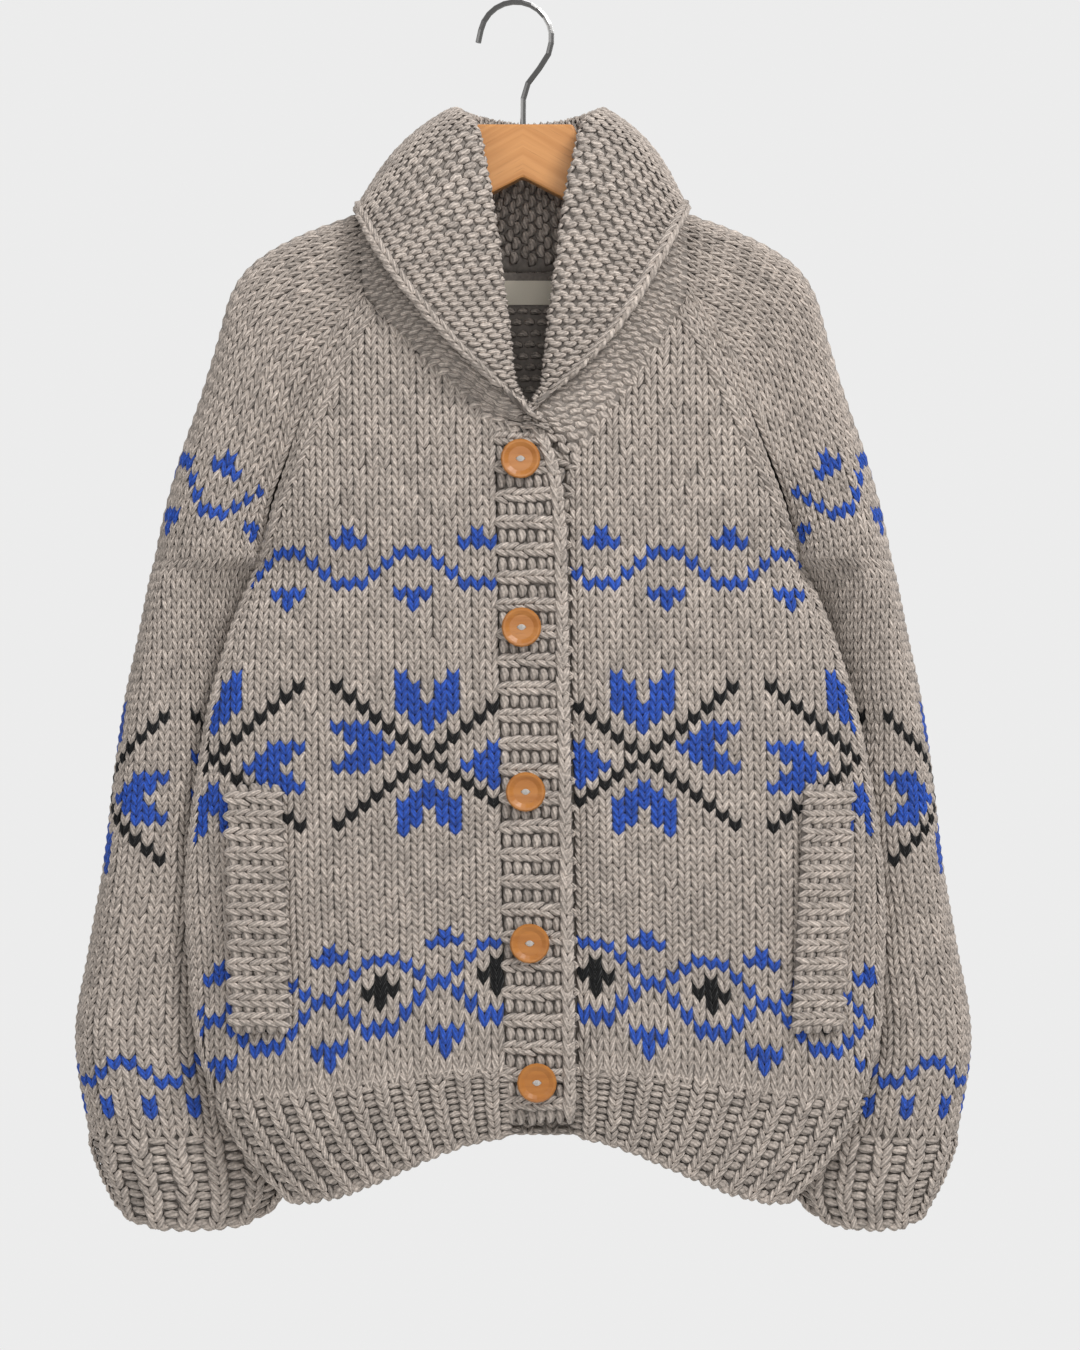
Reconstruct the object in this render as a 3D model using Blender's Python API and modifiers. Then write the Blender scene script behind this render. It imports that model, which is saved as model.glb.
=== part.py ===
"""Hand knit shawl collar cardigan hanging on a flat wooden hanger.

Metres, +Z up, the front faces -Y and the wearer's left is +X. The origin is where the
hook rests on its rail. Every knitted piece is a wall: a grid of outer points and a grid
of inner points, rows by columns, joined round their four edges. Halves are worked out
for the +X side and placed by a side of 1 or -1.
"""

import math

import bmesh
import bpy
import numpy as np
from mathutils import Matrix, Vector


class Table:
    """Rows with named columns, read as smooth curves over the first column."""

    def __init__(self, names, *rows):
        self.names = names.split()
        self.values = np.array(sorted(rows), float)

    def at(self, where, name):
        x = self.values[:, 0]
        y = self.values[:, self.names.index(name)]
        step = np.diff(x)
        rise = np.diff(y) / step
        slope = np.concatenate([rise[:1], np.zeros(len(rise) - 1), rise[-1:]])
        same = rise[:-1] * rise[1:] > 0
        total = np.where(same, rise[:-1] + rise[1:], 1.0)
        slope[1:-1] = np.where(same, 2 * rise[:-1] * rise[1:] / total, 0.0)
        where = np.clip(where, x[0], x[-1])
        i = np.clip(np.searchsorted(x, where) - 1, 0, len(step) - 1)
        t = (where - x[i]) / step[i]
        return (
            y[i] * (1 + 2 * t) * (1 - t) ** 2
            + y[i + 1] * t * t * (3 - 2 * t)
            + step[i] * (slope[i] * t * (1 - t) ** 2 - slope[i + 1] * t * t * (1 - t))
        )


# Cloth
WALL = 0.005
SEAM_GAP = 0.0003
RIB_HEIGHT = 0.0035
RIB_STEPS = ((0.0, 0.0), (0.3, 1.0), (0.7, 1.0))

# Heights that several pieces share
UNDERARM_Z = -0.388
RIB_TOP_Z = -0.756
HEM_Z = -0.833
CUFF_TOP_Z = -0.790
CUFF_END_Z = -0.857
RAGLAN_FRONT_TOP_Z = -0.208
RAGLAN_BACK_TOP_Z = -0.175

# The body hangs a little off plumb
LEAN = 0.0158
LEAN_FROM_Z = -0.084

# Grid sizes, in cells
LOW_ROWS = 9
YOKE_ROWS = 10
HALF_COLUMNS = 8
RING_COLUMNS = 16
DENSE = 120

# Body sections. side_z is the height of a row at the side seam, front_z and back_z its
# height at the centre, half the half width, front and back the depths at the centre.
BODY = Table(
    "side_z front_z back_z half front back side_y",
    (-0.833, -0.785, -0.795, 0.173, 0.047, 0.040, -0.014),
    (-0.800, -0.762, -0.770, 0.203, 0.052, 0.043, -0.017),
    (-0.756, -0.735, -0.742, 0.226, 0.055, 0.045, -0.020),
    (-0.700, -0.690, -0.694, 0.238, 0.057, 0.045, -0.021),
    (-0.626, -0.624, -0.625, 0.241, 0.057, 0.045, -0.021),
    (-0.510, -0.510, -0.510, 0.227, 0.055, 0.044, -0.020),
    (-0.440, -0.440, -0.440, 0.208, 0.053, 0.044, -0.014),
    (-0.388, -0.388, -0.388, 0.188, 0.051, 0.045, 0.000),
    (-0.300, -0.300, -0.300, 0.160, 0.049, 0.047, 0.000),
    (-0.208, -0.208, -0.208, 0.111, 0.044, 0.045, 0.000),
    (-0.175, -0.175, -0.175, 0.100, 0.042, 0.042, 0.000),
)
FRONT_BOW = 0.62
SIDE_ROUND = 0.55
BACK_SIDE_HANDLE = 0.007
BACK_BOW = 0.58
HEM_CURVE_START = 0.1
YOKE_LEAVE = 0.55
YOKE_ARRIVE = 0.32
YOKE_ARRIVE_LOW = 0.12
BACK_NECK_DIP = 0.007

# Inner edges of the two fronts, measured from the leaning centre line: the band's seam,
# then the neckline. right is the wearer's right.
FRONT_EDGE = Table(
    "z right left",
    (-0.833, 0.0225, 0.0275),
    (-0.388, 0.0225, 0.0275),
    (-0.346, 0.0225, 0.0300),
    (-0.325, 0.0225, 0.0345),
    (-0.305, 0.0235, 0.0450),
    (-0.297, 0.0265, 0.0505),
    (-0.273, 0.0500, 0.0690),
    (-0.248, 0.0747, 0.0870),
    (-0.226, 0.0950, 0.1010),
    (-0.208, 0.1104, 0.1104),
)
LEFT_TUCK = 0.005
LEFT_TUCK_WIDTH = 0.022
LEFT_TUCK_FADE = 0.06

# Raglan seams, from the underarm (share 0) to the collar (share 1). ridge is the line
# over the top of the shoulder and down the outside of the arm.
RAGLAN = Table(
    "share front_x front_y back_x back_y",
    (0.0, 0.188, 0.000, 0.188, 0.000),
    (0.1, 0.1835, -0.010, 0.1825, 0.011),
    (0.2, 0.179, -0.018, 0.176, 0.020),
    (0.35, 0.169, -0.027, 0.164, 0.031),
    (0.5, 0.159, -0.033, 0.150, 0.037),
    (0.65, 0.147, -0.036, 0.135, 0.039),
    (0.8, 0.134, -0.037, 0.118, 0.039),
    (1.0, 0.111, -0.036, 0.095, 0.038),
)
RIDGE = Table(
    "share x y z",
    (0.00, 0.258, 0.015, -0.388),
    (0.10, 0.252, 0.014, -0.360),
    (0.24, 0.240, 0.012, -0.318),
    (0.39, 0.225, 0.009, -0.276),
    (0.53, 0.212, 0.005, -0.234),
    (0.64, 0.2035, 0.002, -0.204),
    (0.71, 0.193, 0.000, -0.187),
    (0.78, 0.177, 0.000, -0.174),
    (0.87, 0.152, 0.000, -0.161),
    (1.00, 0.114, 0.000, -0.147),
)
CAP = Table(
    "share front_in front_out back_out back_in",
    (0.00, 0.050, 0.050, 0.060, 0.060),
    (0.25, 0.034, 0.050, 0.052, 0.040),
    (0.50, 0.030, 0.046, 0.046, 0.034),
    (0.75, 0.028, 0.032, 0.034, 0.028),
    (1.00, 0.024, 0.022, 0.022, 0.018),
)
VALLEY_END = 0.62
SURFACE_TURN = math.radians(18)

# Sleeve rings below the underarm, and the cuff. inner is the side that faces the body.
SLEEVE = Table(
    "z outer_x outer_y inner_x inner_y front_in front_out back_out back_in",
    (-0.857, 0.285, 0.030, 0.190, 0.034, 0.026, 0.040, 0.032, 0.026),
    (-0.830, 0.296, 0.030, 0.176, 0.036, 0.032, 0.058, 0.040, 0.032),
    (-0.790, 0.306, 0.029, 0.181, 0.040, 0.034, 0.084, 0.046, 0.034),
    (-0.724, 0.315, 0.028, 0.189, 0.044, 0.032, 0.106, 0.050, 0.035),
    (-0.660, 0.305, 0.027, 0.193, 0.045, 0.030, 0.110, 0.050, 0.035),
    (-0.598, 0.294, 0.025, 0.195, 0.045, 0.030, 0.108, 0.050, 0.035),
    (-0.540, 0.287, 0.023, 0.198, 0.042, 0.030, 0.104, 0.050, 0.036),
    (-0.486, 0.279, 0.021, 0.203, 0.037, 0.030, 0.098, 0.050, 0.038),
    (-0.445, 0.270, 0.019, 0.203, 0.029, 0.026, 0.090, 0.052, 0.042),
    (-0.415, 0.264, 0.017, 0.1975, 0.018, 0.018, 0.083, 0.055, 0.048),
    (-0.400, 0.261, 0.016, 0.1930, 0.009, 0.022, 0.072, 0.058, 0.055),
    (-0.388, 0.258, 0.015, 0.188, 0.000, 0.050, 0.050, 0.060, 0.060),
)
SLEEVE_ROWS_Z = (-0.790, -0.735, -0.680, -0.625, -0.570, -0.515, -0.460, -0.420, -0.400)
CUFF_CORNER = 0.013

# Ribs: how many in each piece
FRONT_HEM_RIBS = 11
BACK_HEM_RIBS = 23
CUFF_RIBS = 13
BAND_RIBS = 25
WELT_RIBS = 13
HEM_ROWS = (0.14, 0.55, 1.0)
HEM_TOP_RIB = 0.3

# Front bands. The buttonhole band is on the wearer's right and lies over the button band.
BAND_HALF = 0.0235
BAND_SHIFT = 0.001
BAND_END_Z = -0.770
BAND_COLUMNS = 2
BAND_FORWARD = 0.0012
BAND_FORWARD_WIDTH = 0.012
BAND_RIB_SHARES = (0.55, 1.0, 1.0)
UNDER_BAND_END_Z = -0.766
UNDER_BAND_WALL = 0.004
UNDER_BAND_RIB = 0.002
UNDER_BAND_RIB_SHARES = (1.0, 1.0, 0.2)
UNDER_BAND_BACK = 0.0085
UNDER_BAND_SHORT = 0.004
UNDER_BAND_RISE = 0.018
UNDER_BAND_RISE_FROM = 0.85
RIGHT_COLLAR_ROW = 5
LEFT_COLLAR_ROW = 4
BAND_FREE = Table(
    "z x",
    (-0.402, 0.0294),
    (-0.360, 0.0280),
    (-0.339, 0.0259),
    (-0.322, 0.0224),
    (-0.306, 0.0155),
    (-0.298, 0.0120),
)
UNDER_FREE = Table(
    "z x",
    (-0.365, -0.0140),
    (-0.345, -0.0125),
    (-0.325, -0.0095),
    (-0.300, -0.0035),
)

# Collar, from the front end (share 0) to the centre back (share 1) along its seam. fold
# is where it turns over, edge its free edge, each as a half width from a centre.
COLLAR = Table(
    "share fold_half fold_y fold_z edge_half edge_y edge_z bulge",
    (0.00, -0.0080, -0.0540, -0.2940, -0.0020, -0.0600, -0.2925, 0.000),
    (0.07, 0.0028, -0.0560, -0.2825, 0.0085, -0.0620, -0.2800, 0.000),
    (0.14, 0.0098, -0.0560, -0.2700, 0.0265, -0.0640, -0.2660, 0.001),
    (0.22, 0.0127, -0.0540, -0.2470, 0.0510, -0.0650, -0.2440, 0.002),
    (0.30, 0.0161, -0.0490, -0.2150, 0.0740, -0.0630, -0.2175, 0.003),
    (0.372, 0.0203, -0.0430, -0.1850, 0.0895, -0.0580, -0.1955, 0.004),
    (0.44, 0.0245, -0.0370, -0.1530, 0.1010, -0.0510, -0.1760, 0.005),
    (0.50, 0.0287, -0.0310, -0.1220, 0.1085, -0.0420, -0.1610, 0.006),
    (0.54, 0.0345, -0.0270, -0.0960, 0.1125, -0.0280, -0.1510, 0.007),
    (0.59, 0.0470, -0.0080, -0.0740, 0.1150, -0.0030, -0.1415, 0.010),
    (0.65, 0.0490, 0.0120, -0.0730, 0.1080, 0.0330, -0.1480, 0.010),
    (0.73, 0.0390, 0.0270, -0.0735, 0.0880, 0.0560, -0.1670, 0.008),
    (0.85, 0.0210, 0.0370, -0.0760, 0.0480, 0.0680, -0.1830, 0.006),
    (1.00, 0.0000, 0.0400, -0.0790, 0.0000, 0.0720, -0.1880, 0.006),
)
FOLD_CENTRE = 0.004
EDGE_CENTRE = -0.001
FOLD_RADIUS = 0.004
SEAM_CLEARANCE = 0.0008
LEFT_END_BACK = 0.0065
STAND_CELLS = 6
FOLD_CELLS = 4
FALL_CELLS = 6
CHAIN_EDGE = 0.0012

# Pocket welts: the near and far edges at the top and bottom, from the centre line
WELT_TOP_Z = -0.547
WELT_END_Z = -0.710
WELT_RISE = 0.006
WELT_RIB = 0.0028
WELTS = (
    ("right", -1, 0.172, 0.209, 0.169, 0.208),
    ("left", 1, 0.185, 0.218, 0.174, 0.208),
)

# Buttons
BUTTON_RADIUS = 0.0135
BUTTON_THICK = 0.0045
BUTTON_SEAT = 0.0003
BUTTON_STEPS = 20
HOLE_RADIUS = 0.0011
HOLE_APART = 0.0042
BUTTON_PLACES = (
    (-0.0014, -0.321),
    (-0.0007, -0.436),
    (0.0021, -0.548),
    (0.0049, -0.651),
    (0.0098, -0.746),
)
# The dished face of a button: distance from the middle as a share of the radius, and
# height as a share of the thickness
BUTTON_PROFILE = (
    (0.0, 0.62),
    (0.62, 0.66),
    (0.84, 0.98),
    (0.93, 1.0),
    (1.0, 0.72),
    (0.96, 0.1),
    (0.86, 0.0),
    (0.0, 0.0),
)

# Neck label, on the inside of the back below the collar seam
LABEL_HALF = 0.021
LABEL_MIDDLE_X = 0.005
LABEL_TOP_Z = -0.188
LABEL_END_Z = -0.205
LABEL_THICK = 0.0008

# Hanger
HANGER_THICK = 0.014
HANGER_EDGE = 0.0018
HANGER_TOP_Z = -0.084
HANGER_HEAD_HALF = 0.0350
HANGER_NOTCH_Z = -0.121
HANGER_ARM_REST = 0.0018
HANGER_ARM_FROM = 0.64
HANGER_NECK = ((0.0375, -0.0900), (0.052, -0.1140), (0.088, -0.1500))
HANGER_UNDER = ((0.186, -0.212), (0.150, -0.205), (0.104, -0.184), (0.031, -0.137))

# Hook
WIRE_RADIUS = 0.002
HOOK_RADIUS = 0.025
HOOK_MIDDLE_X = -0.005
HOOK_TIP = 0.009
HOOK_SHAFT_END_Z = -0.102
HOOK_SHAFT = ((0.0, -0.080), (0.0002, -0.0655), (0.0035, -0.0545), (0.0115, -0.0440), (0.0178, -0.0340))


def lean(z):
    return LEAN * (LEAN_FROM_Z - z)


def unit(vectors):
    return vectors / np.linalg.norm(vectors, axis=-1, keepdims=True)


def soft_step(t):
    t = np.clip(t, 0.0, 1.0)
    return t * t * (3 - 2 * t)


def bezier(a, b, c, d, count=DENSE):
    t = np.linspace(0, 1, count + 1)[:, None]
    a, b, c, d = (np.asarray(p, float) for p in (a, b, c, d))
    return a * (1 - t) ** 3 + 3 * b * t * (1 - t) ** 2 + 3 * c * t * t * (1 - t) + d * t**3


def at_shares(points, shares):
    """Points at the given shares of a polyline's length."""
    length = np.concatenate([[0], np.cumsum(np.linalg.norm(np.diff(points, axis=0), axis=1))])
    where = np.asarray(shares) * length[-1]
    return np.stack([np.interp(where, length, points[:, i]) for i in range(3)], axis=1)


def even(points, cells):
    return at_shares(points, np.linspace(0, 1, cells + 1))


def between_columns(row, columns):
    """Points on the straight edges of a row, at whole or broken column numbers."""
    whole = np.arange(len(row))
    return np.stack([np.interp(columns, whole, row[:, i]) for i in range(3)], axis=1)


def straightened(row, step):
    """A row whose points between every step-th one lie on straight lines."""
    kept = np.arange(0, len(row), step)
    return np.stack([np.interp(np.arange(len(row)), kept, row[kept, i]) for i in range(3)], axis=1)


def placed(points, side):
    """Points worked out for the +X side, put on a side and leant with the body."""
    points = np.array(points, float)
    points[..., 0] = side * points[..., 0] + lean(points[..., 2])
    return points


def mirrored(vectors, side):
    return np.asarray(vectors) * np.array([side, 1.0, 1.0])


def inward(grid):
    """Inward directions of a grid whose rows go up and whose columns go from the front
    round the +X side to the back."""
    up = np.gradient(grid, axis=0)
    across = np.gradient(grid, axis=1)
    return unit(np.cross(up, across))


def body_section(side_z, face):
    """Half a section below the underarm, from the centre line to the side seam."""
    half, depth, side_y = (float(BODY.at(side_z, n)) for n in ("half", face, "side_y"))
    middle_z = float(BODY.at(side_z, face + "_z"))
    if face == "front":
        points = bezier(
            (0, -depth, 0),
            (FRONT_BOW * half, -depth, 0),
            (half, side_y - SIDE_ROUND * (depth + side_y), 0),
            (half, side_y, 0),
        )
    else:
        points = bezier(
            (0, depth, 0),
            (BACK_BOW * half, depth, 0),
            (half, side_y + BACK_SIDE_HANDLE, 0),
            (half, side_y, 0),
        )
    bend = soft_step((points[:, 0] / half - HEM_CURVE_START) / (1 - HEM_CURVE_START))
    points[:, 2] = middle_z + (side_z - middle_z) * bend
    return points


def valley(share):
    return float(np.clip(1 - share / VALLEY_END, 0, 1) ** 1.5)


def raglan_point(share, face):
    top = RAGLAN_FRONT_TOP_Z if face == "front" else RAGLAN_BACK_TOP_Z
    z = UNDERARM_Z + share * (top - UNDERARM_Z)
    return np.array([float(RAGLAN.at(share, face + "_x")), float(RAGLAN.at(share, face + "_y")), z])


def raglan_directions(share, face):
    """Where the body meets the raglan: the way the body's rows arrive, the way the
    sleeve's rings leave, and the inward direction of each."""
    fore = 1 if face == "front" else -1
    amount = valley(share)
    body_turn = SURFACE_TURN + amount * (math.pi / 2 - SURFACE_TURN)
    sleeve_turn = SURFACE_TURN - amount * (math.pi / 2 + SURFACE_TURN)
    body = np.array([math.cos(body_turn), fore * math.sin(body_turn), 0])
    sleeve = np.array([math.cos(sleeve_turn), fore * math.sin(sleeve_turn), 0])
    step = 0.02
    low, high = max(share - step, 0), min(share + step, 1)
    along = unit(raglan_point(high, face) - raglan_point(low, face))
    return body, sleeve, unit(fore * np.cross(along, body)), unit(fore * np.cross(along, sleeve))


def yoke_section(share, face):
    """Half a section of the yoke, from the centre line to the raglan seam."""
    end = raglan_point(share, face)
    fore = 1 if face == "front" else -1
    arrive = raglan_directions(share, face)[0]
    depth = float(BODY.at(end[2], face))
    handle = end[0] * (YOKE_ARRIVE - YOKE_ARRIVE_LOW * valley(share))
    start = np.array([0, -fore * depth, end[2]])
    leave = np.array([YOKE_LEAVE * end[0], 0, 0])
    points = bezier(start, start + leave, end - arrive * handle, end)
    if face == "back":
        dip = BACK_NECK_DIP * share
        points[:, 2] -= dip * (1 - soft_step(points[:, 0] / end[0]))
    return points


def cut_from(points, x):
    """The part of a section outside x."""
    y, z = (np.interp(x, points[:, 0], points[:, i]) for i in (1, 2))
    rest = points[points[:, 0] > x + 1e-6]
    return np.concatenate([[[x, y, z]], rest])


def front_rows(side):
    """Outer points of a front, rib top to neck, and the inward directions."""
    edge = "left" if side > 0 else "right"
    rows = []
    for side_z in np.linspace(RIB_TOP_Z, UNDERARM_Z, LOW_ROWS + 1)[:-1]:
        rows.append(front_row(body_section(side_z, "front"), edge))
    for share in np.linspace(0, 1, YOKE_ROWS + 1):
        rows.append(front_row(yoke_section(share, "front"), edge))
    grid = np.array(rows)
    way = inward(grid)
    for i, share in enumerate(np.linspace(0, 1, YOKE_ROWS + 1)):
        way[LOW_ROWS + i, -1] = raglan_directions(share, "front")[2]
    way[:LOW_ROWS, -1] = side_seam_way(grid[:LOW_ROWS, -1])
    way[-1] = way[-1, -1]
    way[0] = level(way[0])
    grid[LOW_ROWS:, -1, 0] -= SEAM_GAP / 2
    grid[:LOW_ROWS, -1, 1] -= SEAM_GAP / 2
    return grid, way


def front_row(section, edge):
    z = section[0, 2]
    start = float(FRONT_EDGE.at(z, edge))
    row = even(cut_from(section, start), HALF_COLUMNS)
    if edge == "left":
        fade = np.clip((RAGLAN_FRONT_TOP_Z - z) / LEFT_TUCK_FADE, 0, 1)
        near = np.clip(1 - (row[:, 0] - start) / LEFT_TUCK_WIDTH, 0, 1)
        row[:, 1] += LEFT_TUCK * fade * near**2
    return row


def level(ways):
    """Directions laid flat, for the rows where two pieces meet one above the other."""
    return unit(ways * np.array([1.0, 1.0, 0.0]))


def side_seam_way(points):
    """Inward direction along the side seam, where the section is steepest."""
    along = np.gradient(points, axis=0)
    return unit(np.cross(along, np.array([0.0, 1.0, 0.0])))


def back_half_rows():
    """Outer points of half the back, centre to side, and the inward directions."""
    rows = [body_section(z, "back") for z in np.linspace(RIB_TOP_Z, UNDERARM_Z, LOW_ROWS + 1)[:-1]]
    rows += [yoke_section(share, "back") for share in np.linspace(0, 1, YOKE_ROWS + 1)]
    grid = np.array([even(row, HALF_COLUMNS) for row in rows])
    whole = np.concatenate([mirrored(grid[:, :0:-1], -1), grid], axis=1)
    way = -inward(whole)[:, HALF_COLUMNS:]
    for i, share in enumerate(np.linspace(0, 1, YOKE_ROWS + 1)):
        way[LOW_ROWS + i, -1] = raglan_directions(share, "back")[2]
    way[:LOW_ROWS, -1] = side_seam_way(grid[:LOW_ROWS, -1])
    grid[LOW_ROWS:, -1, 0] -= SEAM_GAP / 2
    grid[:LOW_ROWS, -1, 1] += SEAM_GAP / 2
    grid[-1] = straightened(grid[-1], 2)
    way[-1] = unit(straightened(way[-1], 2))
    way[0] = level(way[0])
    return grid, way


def sleeve_ring(z, side):
    """A closed ring of the arm, dense, from the inner side round the front."""
    get = {n: float(SLEEVE.at(z, n)) for n in SLEEVE.names[1:]}
    inner = np.array([get["inner_x"], get["inner_y"], z])
    outer = np.array([get["outer_x"] - side * lean(z), get["outer_y"], z])
    back = np.array([0.0, 1.0, 0.0])
    fore = bezier(inner, inner - back * get["front_in"], outer - back * get["front_out"], outer)
    aft = bezier(outer, outer + back * get["back_out"], inner + back * get["back_in"], inner)
    return np.concatenate([fore, aft[1:]])


def cap_ring(share, side):
    """A ring of the sleeve cap, dense, from the front raglan over the ridge to the back."""
    get = {n: float(CAP.at(share, n)) for n in CAP.names[1:]}
    ridge = np.array([float(RIDGE.at(share, n)) for n in "xyz"])
    ridge[0] -= side * lean(ridge[2])
    back = np.array([0.0, 1.0, 0.0])
    halves = []
    for face, handle_in, handle_out, sign in (
        ("front", get["front_in"], get["front_out"], -1),
        ("back", get["back_in"], get["back_out"], 1),
    ):
        start = raglan_point(share, face)
        _, leave, _, way = raglan_directions(share, face)
        toward = unit(ridge - start)
        leave = (1 - share) * leave + share * toward
        leave = unit(leave - way * np.dot(leave, way))
        halves.append(bezier(start, start + leave * handle_in, ridge + sign * back * handle_out, ridge))
    return np.concatenate([halves[0], halves[1][::-1][1:]])


def sleeve_rows(side):
    """Outer points of a sleeve, cuff to neck, and the inward directions."""
    rings = [sleeve_ring(z, side) for z in SLEEVE_ROWS_Z]
    rings += [cap_ring(share, side) for share in np.linspace(0, 1, YOKE_ROWS + 1)]
    grid = np.array([even(ring, RING_COLUMNS) for ring in rings])
    way = inward(grid)
    low = len(SLEEVE_ROWS_Z)
    closed_way = unit(np.cross(np.gradient(grid[: low + 1, 0], axis=0), np.array([0.0, -1.0, 0.0])))
    way[: low + 1, 0] = closed_way
    way[: low + 1, -1] = closed_way
    for i, share in enumerate(np.linspace(0, 1, YOKE_ROWS + 1)[1:]):
        way[low + 1 + i, 0] = raglan_directions(share, "front")[3]
        way[low + 1 + i, -1] = raglan_directions(share, "back")[3]
    grid[low:, 0, 0] += SEAM_GAP / 2
    grid[low:, -1, 0] += SEAM_GAP / 2
    grid[: low + 1, 0, 1] -= SEAM_GAP / 2
    grid[: low + 1, -1, 1] += SEAM_GAP / 2
    grid[-1] = straightened(grid[-1], RING_COLUMNS // 4)
    way[-1] = unit(straightened(way[-1], RING_COLUMNS // 4))
    way[0] = level(way[0])
    return grid, way


def rib_columns(ribs):
    """Shares along a ribbed piece, and how far each point is raised."""
    shares, raised = [], []
    for rib in range(ribs):
        for where, height in RIB_STEPS:
            shares.append((rib + where) / ribs)
            raised.append(height)
    return np.array(shares + [1.0]), np.array(raised + [0.0])


def material(name, colour, roughness, metallic=0.0):
    made = bpy.data.materials.new(name)
    made.use_nodes = True
    shader = made.node_tree.nodes["Principled BSDF"]
    shader.inputs["Base Color"].default_value = (*colour, 1)
    shader.inputs["Roughness"].default_value = roughness
    shader.inputs["Metallic"].default_value = metallic
    return made


def add_object(name, mesh, skin, home):
    mesh.materials.append(skin)
    made = bpy.data.objects.new(name, mesh)
    home.objects.link(made)
    return made


def wall(name, outer, inner, skin, home):
    """A closed wall between two grids of points."""
    rows, columns = outer.shape[:2]
    bm = bmesh.new()
    out, into = (
        [[bm.verts.new(tuple(p)) for p in row] for row in grid] for grid in (outer, inner)
    )
    for r in range(rows - 1):
        for c in range(columns - 1):
            bm.faces.new((out[r][c], out[r][c + 1], out[r + 1][c + 1], out[r + 1][c]))
            bm.faces.new((into[r][c], into[r + 1][c], into[r + 1][c + 1], into[r][c + 1]))
    for c in range(columns - 1):
        bm.faces.new((out[0][c + 1], out[0][c], into[0][c], into[0][c + 1]))
        bm.faces.new((out[-1][c], out[-1][c + 1], into[-1][c + 1], into[-1][c]))
    for r in range(rows - 1):
        bm.faces.new((out[r][0], out[r + 1][0], into[r + 1][0], into[r][0]))
        bm.faces.new((out[r + 1][-1], out[r][-1], into[r][-1], into[r + 1][-1]))
    bmesh.ops.recalc_face_normals(bm, faces=bm.faces)
    mesh = bpy.data.meshes.new(name)
    bm.to_mesh(mesh)
    bm.free()
    mesh.shade_smooth()
    mesh.set_sharp_from_angle(angle=math.radians(50))
    add_object(name, mesh, skin, home)


def panel(name, grid, way, side, skin, home, thick=WALL):
    outer = placed(grid, side)
    inner = outer + mirrored(way, side) * thick
    wall(name, outer, inner, skin, home)
    return outer, inner


def ribbed(name, base, way, raised, skin, home, thick=WALL):
    """A wall whose outer points are raised by the given heights."""
    way = np.array(way)
    way[-1, :, 2] = 0
    wall(name, base - way * raised[..., None], base + way * thick, skin, home)


def hem_base(top_row, lower_rows, ribs):
    """Points, inward directions and rib heights of a hem below a panel's lowest row.
    lower_rows are dense sections."""
    shares, raised = rib_columns(ribs)
    top = between_columns(top_row, shares * (len(top_row) - 1))
    top[:, 2] -= SEAM_GAP
    base = np.array([*(at_shares(row, shares) for row in lower_rows[::-1]), top])
    way = inward(base)
    heights = np.ones((len(base), 1)) * raised * RIB_HEIGHT
    heights[-1] *= HEM_TOP_RIB
    return base, way, heights


def short_of_seam(way, base, face):
    """Directions limited so that a wall's inner points stay on their side of the seam."""
    limit = (base[:, -1:, 1] - base[..., 1]) / WALL
    way[..., 1] = np.minimum(way[..., 1], limit) if face == "front" else np.maximum(way[..., 1], limit)
    return way


def front_hem(side, name, top_row, skin, home):
    edge = "left" if side > 0 else "right"
    sections = []
    for share in HEM_ROWS:
        section = body_section(RIB_TOP_Z + share * (HEM_Z - RIB_TOP_Z), "front")
        start = float(FRONT_EDGE.at(section[0, 2], edge))
        cut = cut_from(section, start)
        if edge == "left":
            near = np.clip(1 - (cut[:, 0] - start) / LEFT_TUCK_WIDTH, 0, 1)
            cut[:, 1] += LEFT_TUCK * near**2
        cut[:, 1] -= SEAM_GAP / 2 * (cut[:, 0] / cut[-1, 0])
        sections.append(cut)
    base, way, heights = hem_base(top_row, sections, FRONT_HEM_RIBS)
    way[:, -1] = side_seam_way(base[:, -1])
    way = short_of_seam(way, base, "front")
    ribbed(name, placed(base, side), mirrored(way, side), heights, skin, home)


def back_hem(name, top_row, skin, home):
    sections = []
    for share in HEM_ROWS:
        section = body_section(RIB_TOP_Z + share * (HEM_Z - RIB_TOP_Z), "back")
        section[:, 1] += SEAM_GAP / 2 * (section[:, 0] / section[-1, 0])
        sections.append(np.concatenate([placed(section[:0:-1], -1), placed(section, 1)]))
    base, way, heights = hem_base(top_row, sections, BACK_HEM_RIBS)
    way = -way
    way[:, -1] = side_seam_way(base[:, -1])
    way[:, 0] = -side_seam_way(base[:, 0])
    way = short_of_seam(way, base, "back")
    ribbed(name, base, way, heights, skin, home)


def cuff(side, name, bottom_ring, skin, home):
    """A ribbed cuff below a sleeve, its lower corners rounded up."""
    shares, raised = rib_columns(CUFF_RIBS)
    rows = []
    for share in HEM_ROWS:
        ring = sleeve_ring(CUFF_TOP_Z + share * (CUFF_END_Z - CUFF_TOP_Z), side)
        middle, half = (ring[:, 0].max() + ring[:, 0].min()) / 2, np.ptp(ring[:, 0]) / 2
        ring[:, 2] += CUFF_CORNER * share * np.abs((ring[:, 0] - middle) / half) ** 4
        rows.append(at_shares(ring, shares))
    top = between_columns(bottom_ring, shares * (len(bottom_ring) - 1))
    top[:, 2] -= SEAM_GAP
    base = np.array([*rows[::-1], top])
    way = inward(base)
    closed_way = unit(way[:, 0] + way[:, -1])
    way[:, 0] = closed_way
    way[:, -1] = closed_way
    base[:, 0, 1] -= SEAM_GAP / 2
    base[:, -1, 1] += SEAM_GAP / 2
    heights = np.ones((len(base), 1)) * raised * RIB_HEIGHT
    heights[-1] *= HEM_TOP_RIB
    ribbed(name, placed(base, side), mirrored(way, side), heights, skin, home)


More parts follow.
